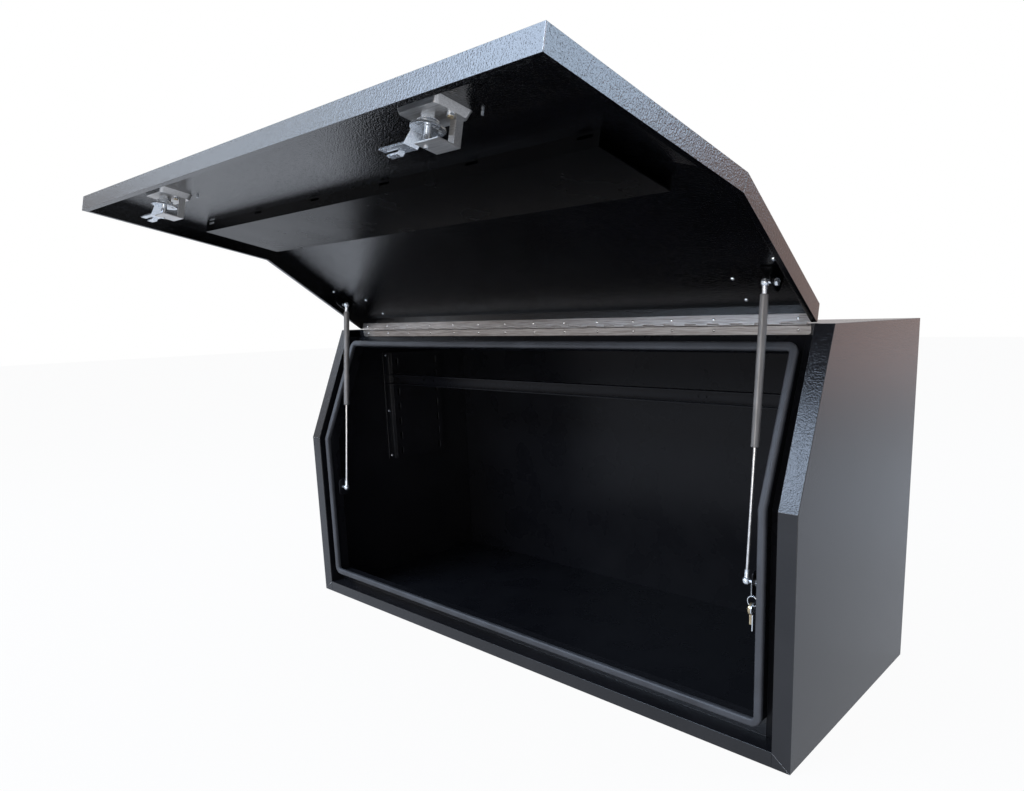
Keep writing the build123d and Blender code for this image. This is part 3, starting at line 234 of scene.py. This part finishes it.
hinge_steel = brushed_steel("hinge steel", (0.25, 0.225, 0.205), (0.50, 0.465, 0.435), (0.26, 0.44))
dish_steel = brushed_steel("dish steel", (0.50, 0.475, 0.45), (0.72, 0.695, 0.66), (0.24, 0.42))
zinc = plated("zinc", (0.66, 0.70, 0.74), (0.90, 0.92, 0.94), (0.14, 0.34))
chrome = plated("strut chrome", (0.60, 0.58, 0.56), (0.82, 0.80, 0.78), (0.08, 0.2), mottle=90.0)
brass = plated("key brass", (0.44, 0.34, 0.20), (0.72, 0.60, 0.40), (0.24, 0.42), mottle=500.0)
rivet_steel = plated("rivet steel", (0.70, 0.68, 0.64), (0.92, 0.90, 0.86), (0.12, 0.26))
bare_weld = plated("weld metal", (0.20, 0.19, 0.19), (0.52, 0.51, 0.51), (0.25, 0.5), mottle=900.0)
metals = (hinge_steel, dish_steel, zinc, chrome, brass, rivet_steel, bare_weld)
print("metals", [metal.name for metal in metals])

# %% [markdown]
# ## Strut paint and seal rubber
# The strut tubes have a satin grey paint, a little metallic, with faint clouds drawn out along the height.
# The seal is black rubber with a grey bloom on it, left by its age, and a fine grained skin. The clouds
# and the bloom steer both the tint and the gloss, so that paler places are also duller.

# %% Strut paint and seal rubber
TALL_CLOUDS = (1, 1, 0.15)

strut_paint, strut_shader = base_material("strut paint", (0.2, 0.19, 0.18), roughness=0.35, metallic=0.35)
strut_tree = strut_paint.node_tree
clouds = noise(strut_tree, scale=140.0, detail=3.0, stretch=TALL_CLOUDS)
wander(strut_tree, strut_shader, clouds, [(0.3, (0.17, 0.16, 0.15)), (0.7, (0.27, 0.255, 0.24))],
       roughness=(0.28, 0.42))
bump(strut_tree, strut_shader, clouds, strength=0.05, distance=0.3 * MM)

rubber, rubber_shader = base_material("seal rubber", (0.045, 0.046, 0.049), roughness=0.5)
rubber_tree = rubber.node_tree
skin = noise(rubber_tree, scale=700.0, detail=3.0)
bloom = noise(rubber_tree, scale=14.0, detail=3.0)
wander(rubber_tree, rubber_shader, bloom, [(0.35, (0.034, 0.034, 0.037)), (0.7, (0.060, 0.061, 0.066))],
       roughness=(0.42, 0.62))
bump(rubber_tree, rubber_shader, skin, strength=0.2, distance=0.5 * MM)
print("made", strut_paint.name, "and", rubber.name)

# %% [markdown]
# ## Folded sheet with soft corners
# CAD keeps the folds of the sheet sharp, but a press brake leaves a small radius that catches the light
# as a bright line. Each sheet piece is copied from its CAD node, its loose triangles are merged back into
# flat faces, and a Bevel modifier rounds every edge. The copy stands for the node and rides on its body.
# First come the helpers that select, name and copy, then the sheet itself.

# %% Helpers for pieces
bodies = frame["record"]["behaviour"]["bodies"]
body_of = {node: body for body, names in bodies.items() for node in names}


def deselect():
    """Nothing selected and nothing in edit mode."""
    if bpy.context.object and bpy.context.object.mode != "OBJECT":
        bpy.ops.object.mode_set(mode="OBJECT")
    bpy.ops.object.select_all(action="DESELECT")


def activate(piece):
    """Only this piece selected, and active."""
    deselect()
    piece.select_set(True)
    bpy.context.view_layer.objects.active = piece


def finish_piece(piece, name, body, material, replaces=()):
    """Names a piece, gives it its finish, hangs it on its body and stands it in for nodes."""
    piece.name = name
    piece.data.name = name
    piece.data.materials.clear()
    piece.data.materials.append(material)
    if replaces:
        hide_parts(*replaces)
    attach(piece, body)


def apply_place(piece):
    """Puts the place, turn and scale of a piece into its mesh."""
    activate(piece)
    bpy.ops.object.transform_apply(location=True, rotation=True, scale=True)


# %% Rounded copies of CAD nodes
MERGE_GAP = 0.01 * MM
FLAT_ANGLE = math.radians(1)
EDGE_ANGLE = math.radians(30)
EDGE_SEGMENTS = 2


def soften(piece, width):
    """Rounds the edges of a piece and shades it."""
    activate(piece)
    bpy.ops.object.shade_smooth_by_angle(angle=EDGE_ANGLE)
    edge = piece.modifiers.new("soft edges", "BEVEL")
    edge.width = width
    edge.segments = EDGE_SEGMENTS
    edge.limit_method = "ANGLE"
    edge.angle_limit = EDGE_ANGLE
    edge.harden_normals = True
    bpy.ops.object.modifier_apply(modifier=edge.name)


def cad_copy(node):
    """A copy of a CAD node with its loose triangles merged into flat faces."""
    piece = nodes[node].copy()
    piece.data = nodes[node].data.copy()
    piece.parent = None
    piece.matrix_world = nodes[node].matrix_world.copy()
    bpy.context.collection.objects.link(piece)
    apply_place(piece)
    bpy.ops.object.mode_set(mode="EDIT")
    bpy.ops.mesh.select_all(action="SELECT")
    bpy.ops.mesh.remove_doubles(threshold=MERGE_GAP)
    bpy.ops.mesh.dissolve_limited(angle_limit=FLAT_ANGLE)
    bpy.ops.object.mode_set(mode="OBJECT")
    return piece


def soft_copy(node, material, width):
    """A copy of a CAD node with rounded edges, which stands for the node."""
    piece = cad_copy(node)
    soften(piece, width)
    finish_piece(piece, node + "_folded", body_of[node], material, [node])


# %% Folded sheet
FOLD = 0.9 * MM
coat_of = {
    "left_end_panel": coat_body, "right_end_panel": coat_body, "top_panel": coat_body,
    "back_panel": coat_frame_painted_shade, "bottom_sill": coat_body, "floor_panel": coat_frame_painted_shade,
    "left_jamb": coat_frame_painted_shade, "right_jamb": coat_frame_painted_shade, "head_channel": coat_frame_painted_shade,
    "cross_rail": coat_frame_painted_shade, "left_shelf_track": coat_body, "right_shelf_track": coat_body,
    "left_lower_bracket": coat_frame_painted_shade, "right_lower_bracket": coat_frame_painted_shade, "lid_shell": coat_lid_painted_shade,
    "lid_stiffener": coat_fitting_painted_shade, "left_upper_bracket": coat_fitting_painted_shade,
    "right_upper_bracket": coat_fitting_painted_shade,
}
for node, coat in coat_of.items():
    soft_copy(node, coat, FOLD)
print("folded sheet pieces", len(coat_of))

# %% [markdown]
# ## Hinge, locks and struts
# These pieces are turned, pressed or plated metal. Their CAD forms are right, so each gets the same
# rounded edges, finer on small pieces, and its own metal. A sharp CAD edge never shines, a rounded one
# draws a bright thread along every plate, and that thread is what makes metal look like metal. The
# number beside each metal is the width of the rounding in millimetres.

# %% Hinge, locks and struts
metal_of = {
    "hinge_body_leaf": (hinge_steel, 0.15), "hinge_lid_leaf": (hinge_steel, 0.15),
    "lower_stud_nuts": (zinc, 0.4), "upper_stud_nuts": (zinc, 0.4),
    "upper_stud_shanks": (zinc, 0.3),
    "steel_key": (zinc, 0.2), "brass_keys": (brass, 0.2), "door_seal": (rubber, 0.3),
}
for side in ("left", "right"):
    metal_of.update({
        f"{side}_lock_dish": (dish_steel, 0.35), f"{side}_lock_bracket": (dish_steel, 0.3),
        f"{side}_lock_handle": (dish_steel, 0.6), f"{side}_lock_bearing": (zinc, 0.4),
        f"{side}_key_housing": (zinc, 0.3), f"{side}_lock_spindle": (zinc, 0.3),
        f"{side}_lock_cam": (zinc, 0.3), f"{side}_strut_tube": (strut_paint, 0.3),
        f"{side}_strut_rod_end": (zinc, 0.2), f"{side}_strut_tube_end": (zinc, 0.2),
        f"{side}_strut_rod": (chrome, 0.1),
    })
for node, (metal, width) in metal_of.items():
    soft_copy(node, metal, width * MM)
print("metal pieces with rounded edges", len(metal_of))

# %% [markdown]
# ## Pins, ring and keys
# Pins, screws and the key ring are round bars whose CAD form needs no rounding, so their nodes are kept
# and only painted. The wire loop of the keys swings on the ball stud in a tight fit. Facets of two round
# bars can catch on each other where the real curves slide, so the loop is copied a touch thinner.

# %% Pins, ring and keys
WIRE_PLAY = 0.1 * MM
SMOOTH_ANGLE = math.radians(40)


def slim_copy(node, material, cut):
    """A copy of a CAD node that is thinner all round by cut, to leave room for its motion."""
    piece = cad_copy(node)
    bpy.ops.object.mode_set(mode="EDIT")
    bpy.ops.mesh.select_all(action="SELECT")
    bpy.ops.transform.shrink_fatten(value=-cut)
    bpy.ops.object.mode_set(mode="OBJECT")
    bpy.ops.object.shade_smooth_by_angle(angle=SMOOTH_ANGLE)
    finish_piece(piece, node + "_slim", body_of[node], material, [node])


def repaint(material, *names):
    """Gives CAD nodes a finish."""
    for name in names:
        nodes[name].data.materials.clear()
        nodes[name].data.materials.append(material)


repaint(hinge_steel, "hinge_pin")
slim_copy("key_wire", zinc, WIRE_PLAY)
repaint(zinc, "track_rivets", "lid_screws", "key_ring", "lower_ball_studs")
for side in ("left", "right"):
    repaint(zinc, f"{side}_fold_pin")
    repaint(brass, f"{side}_key_plug")
print("key wire made thinner by", WIRE_PLAY)

# %% [markdown]
# ## Places on the lid
# The lid is open at rest, so a place on it is easier to say for the shut lid, where its lower face is
# upright. The hinge's own pivot and range turn such a place up to where the open lid holds it. Widths
# come from the boxes of CAD pieces. Heights that no box has, such as the knee, are the CAD's own lengths.

# %% Places on the lid
hinge_place = Vector(joints["lid_hinge"]["pos_m"])
open_angle = math.radians(joints["lid_hinge"]["range_deg"][1])
to_hinge, from_hinge = Matrix.Translation(hinge_place), Matrix.Translation(-hinge_place)
LID_SWING = to_hinge @ Matrix.Rotation(-open_angle, 4, "X") @ from_hinge
LID_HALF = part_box("lid_shell")[1][0]
FRONT_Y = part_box("bottom_sill")[0][1]
END_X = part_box("right_end_panel")[1][0]
MOUTH_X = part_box("bottom_sill")[1][0]
SILL_TOP = 30 * MM
LID_BOTTOM = 33 * MM
LID_RETURN = 31.6 * MM
BOX_HEIGHT = 780 * MM
KNEE_Z = 472 * MM
SLOPE_SETBACK = 126 * MM
SLOPE = math.atan2(SLOPE_SETBACK, BOX_HEIGHT - KNEE_Z)
print("lid swings about", tuple(hinge_place), "by", round(math.degrees(open_angle), 2), "degrees")

# %% [markdown]
# ## Weld beads
# The folded flanges meet at the corners and at the knee, where the welder ran a short bead and the coat
# is thin enough to show bare metal. A bead is a row of overlapping ripples, like a row of coins pushed
# over. It could be a bent tube with a bump, but its ripples would then be missing from its outline. So
# one ripple is squashed from a ball, repeated along the seam by an Array, and the row is melted into one
# skin by a voxel Remesh.

# %% Weld beads
BEAD_STEP = 1.1 * MM
BEAD_FLATNESS = 0.75
VOXELS_PER_RADIUS = 3.2
MITRE_BEAD, KNEE_BEAD = 0.55 * MM, 0.5 * MM
LID_KNEE_BEAD, LID_CORNER_BEAD = 0.55 * MM, 1.1 * MM
PROUD = 0.1 * MM
END_GAP = 1 * MM
MITRE_FOOT = 1.2 * MM
CORNER_IN, CORNER_BACK, CORNER_UP = 0.5 * MM, 1.6 * MM, 0.9 * MM


def weld_bead(name, start, end, body, radius):
    """A rippled bead between two places on a body, those on the lid given for the shut lid."""
    start, end = Vector(start), Vector(end)
    if body == "lid":
        start, end = LID_SWING @ start, LID_SWING @ end
    along = (end - start).normalized()
    deselect()
    bpy.ops.mesh.primitive_uv_sphere_add(segments=12, ring_count=8, radius=radius, location=start)
    piece = bpy.context.object
    piece.scale = (1.0, 1.0, BEAD_FLATNESS)
    piece.rotation_euler = along.to_track_quat("Z", "Y").to_euler()
    apply_place(piece)
    row = piece.modifiers.new("row", "ARRAY")
    row.use_relative_offset = False
    row.use_constant_offset = True
    row.constant_offset_displace = along * BEAD_STEP
    row.count = max(2, round((end - start).length / BEAD_STEP))
    melt = piece.modifiers.new("melt", "REMESH")
    melt.mode = "VOXEL"
    melt.voxel_size = radius / VOXELS_PER_RADIUS
    for modifier in (row, melt):
        bpy.ops.object.modifier_apply(modifier=modifier.name)
    bpy.ops.object.shade_smooth()
    finish_piece(piece, name, body, bare_weld)
    print(name, round((end - start).length / MM, 1), "mm")


face = FRONT_Y - PROUD
near, far = FRONT_Y + END_GAP, FRONT_Y + LID_RETURN - END_GAP
knee_inside = KNEE_Z - LID_RETURN * math.tan(SLOPE / 2)
corner_z = LID_BOTTOM + CORNER_UP
for side, sign in (("left", -1), ("right", 1)):
    mouth, outer = sign * (MOUTH_X + END_GAP), sign * (END_X - END_GAP)
    weld_bead(f"{side}_sill_mitre_weld", (mouth, face, SILL_TOP - END_GAP), (outer, face, MITRE_FOOT),
              "box", MITRE_BEAD)
    weld_bead(f"{side}_knee_weld", (mouth, face, KNEE_Z), (outer, face, KNEE_Z), "box", KNEE_BEAD)
    lid_side = sign * (LID_HALF + PROUD / 2)
    weld_bead(f"{side}_lid_knee_weld", (lid_side, near, KNEE_Z - END_GAP / 2), (lid_side, far, knee_inside),
              "lid", LID_KNEE_BEAD)
    corner_x = sign * (LID_HALF - CORNER_IN)
    weld_bead(f"{side}_lid_corner_weld", (corner_x, FRONT_Y + CORNER_BACK, corner_z),
              (corner_x, far, corner_z), "lid", LID_CORNER_BEAD)

# %% [markdown]
# ## Blind rivets
# Blind rivets hold both hinge leaves. Each has a low round head with a small crater where its mandrel
# broke off. The head is cut from a ball, flattened, and its crater is an inset pushed inwards. One head
# is made, then copied to every place where the CAD has a rivet, and each row becomes one piece.

# %% Rivet heads
DOME_FOOT, DOME_TOP = 0.35, 0.93
CRATER_LIP, CRATER_DEPTH = 0.07, 0.16


def rivet_head(radius, height):
    """One domed head that stands on the XY plane, with the crater of its mandrel."""
    deselect()
    bpy.ops.mesh.primitive_uv_sphere_add(segments=20, ring_count=14, radius=radius)
    head = bpy.context.object
    bpy.ops.object.mode_set(mode="EDIT")
    bpy.ops.mesh.bisect(plane_co=(0, 0, DOME_FOOT * radius), plane_no=(0, 0, 1),
                        use_fill=True, clear_inner=True)
    bpy.ops.mesh.select_all(action="SELECT")
    bpy.ops.mesh.bisect(plane_co=(0, 0, DOME_TOP * radius), plane_no=(0, 0, 1),
                        use_fill=True, clear_outer=True)
    bpy.ops.mesh.inset(thickness=CRATER_LIP * radius)
    bpy.ops.transform.translate(value=(0, 0, -CRATER_DEPTH * radius))
    bpy.ops.object.mode_set(mode="OBJECT")
    low = min(corner.co.z for corner in head.data.vertices)
    high = max(corner.co.z for corner in head.data.vertices)
    wide = max(corner.co.x for corner in head.data.vertices)
    head.location = (0, 0, -low * height / (high - low))
    head.scale = (radius / wide, radius / wide, height / (high - low))
    apply_place(head)
    return head


# %% Rivet places
def island_centres(node):
    """The middle of each separate solid of a node."""
    shape = bmesh.new()
    shape.from_mesh(nodes[node].data)
    bmesh.ops.remove_doubles(shape, verts=shape.verts, dist=MERGE_GAP)
    left = set(shape.verts)
    centres = []
    while left:
        reached = [left.pop()]
        island = list(reached)
        while reached:
            for edge in reached.pop().link_edges:
                for corner in edge.verts:
                    if corner in left:
                        left.remove(corner)
                        reached.append(corner)
                        island.append(corner)
        low = Vector([min(corner.co[axis] for corner in island) for axis in range(3)])
        high = Vector([max(corner.co[axis] for corner in island) for axis in range(3)])
        centres.append((low + high) / 2)
    shape.free()
    return sorted(centres, key=lambda centre: (round(centre.x, 4), round(centre.y, 4), centre.z))


# %% Rivet rows
RIVET_RADIUS = 3.4 * MM
RIVET_HEIGHT = 1.4 * MM


def rivet_row(node, normal, name):
    """A head at each rivet of a CAD node, facing normal, joined into one piece."""
    facing = normal.to_track_quat("Z", "Y").to_matrix().to_4x4()
    seed = rivet_head(RIVET_RADIUS, RIVET_HEIGHT)
    heads = []
    for centre in island_centres(node):
        copy = seed.copy()
        copy.data = seed.data.copy()
        bpy.context.collection.objects.link(copy)
        foot = centre - normal.normalized() * RIVET_HEIGHT / 2
        copy.matrix_world = Matrix.Translation(foot) @ facing
        heads.append(copy)
    bpy.data.objects.remove(seed)
    deselect()
    for head in heads:
        head.select_set(True)
    bpy.context.view_layer.objects.active = heads[0]
    bpy.ops.object.join()
    piece = bpy.context.object
    apply_place(piece)
    bpy.ops.object.shade_smooth_by_angle(angle=SMOOTH_ANGLE)
    finish_piece(piece, name, body_of[node], rivet_steel, [node])
    print(name, len(heads))


rivet_row("hinge_body_rivets", Vector((0, -1, 0)), "body_leaf_rivet_heads")
rivet_row("hinge_lid_rivets", LID_SWING.to_3x3() @ Vector((0, 0, -1)), "lid_leaf_rivet_heads")

# %% [markdown]
# ## Lock springs and small screws
# A wave spring sits between the dish and the cam disc and keeps the lock from rattling. It is bent wire
# that goes up and down as it goes round: a thin torus whose points are lifted by a sine of their angle,
# laid three times. The screw beside each lock is a turned shank with a wider head, drawn out of one end
# of a cylinder by an outward inset and an extrude.

# %% Lock springs
SPRING_RADIUS = 14.5 * MM
SPRING_WIRE = 0.9 * MM
WAVE_HEIGHT = 0.45 * MM
WAVES = 3
RING_DEPTHS = (20.4 * MM, 22.9 * MM, 25.4 * MM)


def lock_frame(side, depth):
    """The matrix of a place on a lock's axis, at a depth behind its pivot, with Z out of the lid."""
    joint = joints[f"{side}_lock_turn"]
    out = Vector(joint["axis"])
    centre = Vector(joint["pos_m"]) - out * depth
    return Matrix.Translation(centre) @ out.to_track_quat("Z", "Y").to_matrix().to_4x4()


for side in ("left", "right"):
    rings = []
    for index, depth in enumerate(RING_DEPTHS):
        deselect()
        bpy.ops.mesh.primitive_torus_add(major_radius=SPRING_RADIUS, minor_radius=SPRING_WIRE,
                                         major_segments=72, minor_segments=10)
        ring = bpy.context.object
        for corner in ring.data.vertices:
            angle = math.atan2(corner.co.y, corner.co.x)
            corner.co.z += WAVE_HEIGHT * math.sin(WAVES * angle + index * math.pi)
        ring.matrix_world = lock_frame(side, depth)
        rings.append(ring)
    deselect()
    for ring in rings:
        ring.select_set(True)
    bpy.context.view_layer.objects.active = rings[0]
    bpy.ops.object.join()
    spring = bpy.context.object
    apply_place(spring)
    bpy.ops.object.shade_smooth()
    finish_piece(spring, f"{side}_lock_spring", "lid", zinc)
    print(spring.name, "of", len(rings), "rings")

# %% Small screws
SCREW_RADIUS = 3.2 * MM
SCREW_LENGTH = 5 * MM
SHANK_SHARE = 0.62
HEAD_SHARE = 0.7
HEAD_ROUNDING = 0.35 * MM
FACES_UP = 0.9
SCREW_FROM_LOCK = Vector((58 * MM, 0, 40 * MM))
SHEET = 2 * MM
INNER_FACE = FRONT_Y + SHEET


def select_top(screw, shape):
    """Only the faces that look up the screw selected."""
    bpy.ops.mesh.select_all(action="DESELECT")
    for face in shape.faces:
        face.select = face.normal.z > FACES_UP
    bmesh.update_edit_mesh(screw.data)


def turned_screw(name, place):
    """A screw on the inner face of the lid, its place given for the shut lid."""
    deselect()
    bpy.ops.mesh.primitive_cylinder_add(vertices=24, radius=SCREW_RADIUS * SHANK_SHARE, depth=SCREW_LENGTH)
    screw = bpy.context.object
    bpy.ops.object.mode_set(mode="EDIT")
    shape = bmesh.from_edit_mesh(screw.data)
    select_top(screw, shape)
    bpy.ops.mesh.inset(thickness=-SCREW_RADIUS * (1 - SHANK_SHARE), use_outset=True)
    select_top(screw, shape)
    bpy.ops.mesh.extrude_region_move(TRANSFORM_OT_translate={"value": (0, 0, SCREW_RADIUS * HEAD_SHARE)})
    bpy.ops.object.mode_set(mode="OBJECT")
    shut = Matrix.Translation(place) @ Vector((0, 1, 0)).to_track_quat("Z", "Y").to_matrix().to_4x4()
    screw.matrix_world = LID_SWING @ shut
    apply_place(screw)
    bpy.ops.object.mode_set(mode="EDIT")
    bpy.ops.mesh.select_all(action="SELECT")
    bpy.ops.mesh.normals_make_consistent(inside=False)
    bpy.ops.object.mode_set(mode="OBJECT")
    soften(screw, HEAD_ROUNDING)
    finish_piece(screw, name, "lid", zinc)
    print(name, "at", [round(part, 4) for part in place], "on the shut lid")


for side in ("left", "right"):
    shut_lock = LID_SWING.inverted() @ Vector(joints[f"{side}_lock_turn"]["pos_m"])
    screw_place = shut_lock + SCREW_FROM_LOCK
    screw_place.y = INNER_FACE + SCREW_LENGTH / 2
    turned_screw(f"{side}_skin_screw", screw_place)

# %% [markdown]
# ## Floor and world
# The photograph has no background, so the floor and the world are plain white to the camera. Polished
# pieces show that white in part. All softer light comes from a grey floor and from a sky that is warm at
# the horizon and cool above, so the box isn't lit more by its background. The Light Path node tells the
# kinds of ray apart.

# %% Floor
FLOOR_SIZE = 40.0
FLOOR_GREY = (0.55, 0.55, 0.56)
FLOOR_WHITE = 0.95
POLISHED_WHITE = 0.4


def seen_directly(tree):
    """How white a ray sees the background: fully from the camera, in part from polished or clear pieces."""
    rays = tree.nodes.new("ShaderNodeLightPath")
    total = rays.outputs["Is Camera Ray"]
    for kind in ("Is Glossy Ray", "Is Transmission Ray"):
        add = tree.nodes.new("ShaderNodeMath")
        add.operation = "MULTIPLY_ADD"
        add.use_clamp = True
        add.inputs[1].default_value = POLISHED_WHITE
        tree.links.new(rays.outputs[kind], add.inputs[0])
        tree.links.new(total, add.inputs[2])
        total = add.outputs["Value"]
    return total


bpy.ops.mesh.primitive_plane_add(size=FLOOR_SIZE, location=(0, 0, 0))
ground = bpy.context.object
ground.name = "ground"
ground_paint, ground_shader = base_material("ground", FLOOR_GREY, roughness=0.9)
ground_nodes, ground_links = ground_paint.node_tree.nodes, ground_paint.node_tree.links
ground_white = ground_nodes.new("ShaderNodeEmission")
ground_share = ground_nodes.new("ShaderNodeMath")
ground_share.operation = "MULTIPLY"
ground_share.inputs[1].default_value = FLOOR_WHITE
ground_mix = ground_nodes.new("ShaderNodeMixShader")
ground_links.new(seen_directly(ground_paint.node_tree), ground_share.inputs[0])
ground_links.new(ground_share.outputs["Value"], ground_mix.inputs["Fac"])
ground_links.new(ground_shader.outputs["BSDF"], ground_mix.inputs[1])
ground_links.new(ground_white.outputs["Emission"], ground_mix.inputs[2])
ground_links.new(ground_mix.outputs["Shader"], ground_nodes["Material Output"].inputs["Surface"])
ground.data.materials.append(ground_paint)
print("floor", FLOOR_SIZE, "m wide")

# %% World
SKY_STRENGTH = 0.8
SKY_COLOURS = [(0.0, (0.42, 0.32, 0.29)), (0.12, (0.46, 0.37, 0.35)),
               (0.35, (0.66, 0.74, 0.88)), (1.0, (0.72, 0.82, 1.0))]

world = bpy.data.worlds.new("studio")
bpy.context.scene.world = world
world.use_nodes = True
sky_nodes, sky_links = world.node_tree.nodes, world.node_tree.links
sky = sky_nodes["Background"]
place = sky_nodes.new("ShaderNodeTexCoord")
height = sky_nodes.new("ShaderNodeSeparateXYZ")
sky_links.new(place.outputs["Generated"], height.inputs["Vector"])
sky_links.new(ramp(world.node_tree, height.outputs["Z"], SKY_COLOURS), sky.inputs["Color"])
sky.inputs["Strength"].default_value = SKY_STRENGTH
white = sky_nodes.new("ShaderNodeBackground")
white.inputs["Color"].default_value = (1, 1, 1, 1)
mix = sky_nodes.new("ShaderNodeMixShader")
sky_links.new(seen_directly(world.node_tree), mix.inputs["Fac"])
sky_links.new(sky.outputs["Background"], mix.inputs[1])
sky_links.new(white.outputs["Background"], mix.inputs[2])
sky_links.new(mix.outputs["Shader"], sky_nodes["World Output"].inputs["Surface"])
print("world", world.name)

# %% [markdown]
# ## Lamps
# The black coat only shows what it mirrors, so each soft lamp stands where one face of the box mirrors
# it to the camera: high on the left for the sloped flange and the front edge of the lid, far left for
# the rest of that edge, behind on the right for the side of the lid, low behind for a warm touch on the
# end panel. A small lamp in front lights the locks. The camera doesn't see the lamps themselves. Their
# brightness is given per area, so a lamp can grow softer without more light on its mirror image.

# %% Lamps
def soft_lamp(name, place, target, size, radiance, colour):
    """A square area lamp that looks at a target and is as bright as radiance says."""
    bpy.ops.object.light_add(type="AREA", location=place)
    lamp = bpy.context.object
    lamp.name = name
    lamp.data.shape = "SQUARE"
    lamp.data.size = size
    lamp.data.energy = radiance * math.pi * size ** 2
    lamp.data.color = colour
    lamp.visible_camera = False
    lamp.rotation_euler = (Vector(target) - Vector(place)).to_track_quat("-Z", "Y").to_euler()
    print(name, round(lamp.data.energy), "W")


soft_lamp("sky left", place=(-1.4, -3.2, 3.1), target=(0.3, -0.5, 0.9),
          size=2.6, radiance=9.0, colour=(0.62, 0.77, 1.0))
soft_lamp("sky far left", place=(-3.5, -2.3, 2.75), target=(-0.2, -0.84, 1.08),
          size=1.4, radiance=2.2, colour=(0.74, 0.85, 1.0))
soft_lamp("sky right", place=(3.4, 2.2, 2.7), target=(0.7, -0.7, 1.0),
          size=2.0, radiance=6.2, colour=(0.60, 0.77, 1.0))
soft_lamp("warm wall", place=(2.9, 5.0, 1.4), target=(0.7, 0, 0.6),
          size=2.6, radiance=0.5, colour=(1.0, 0.52, 0.42))
soft_lamp("front", place=(0.9, -3.6, 0.75), target=(0.3, -0.76, 1.0),
          size=1.2, radiance=4.4, colour=(1.0, 0.98, 0.95))
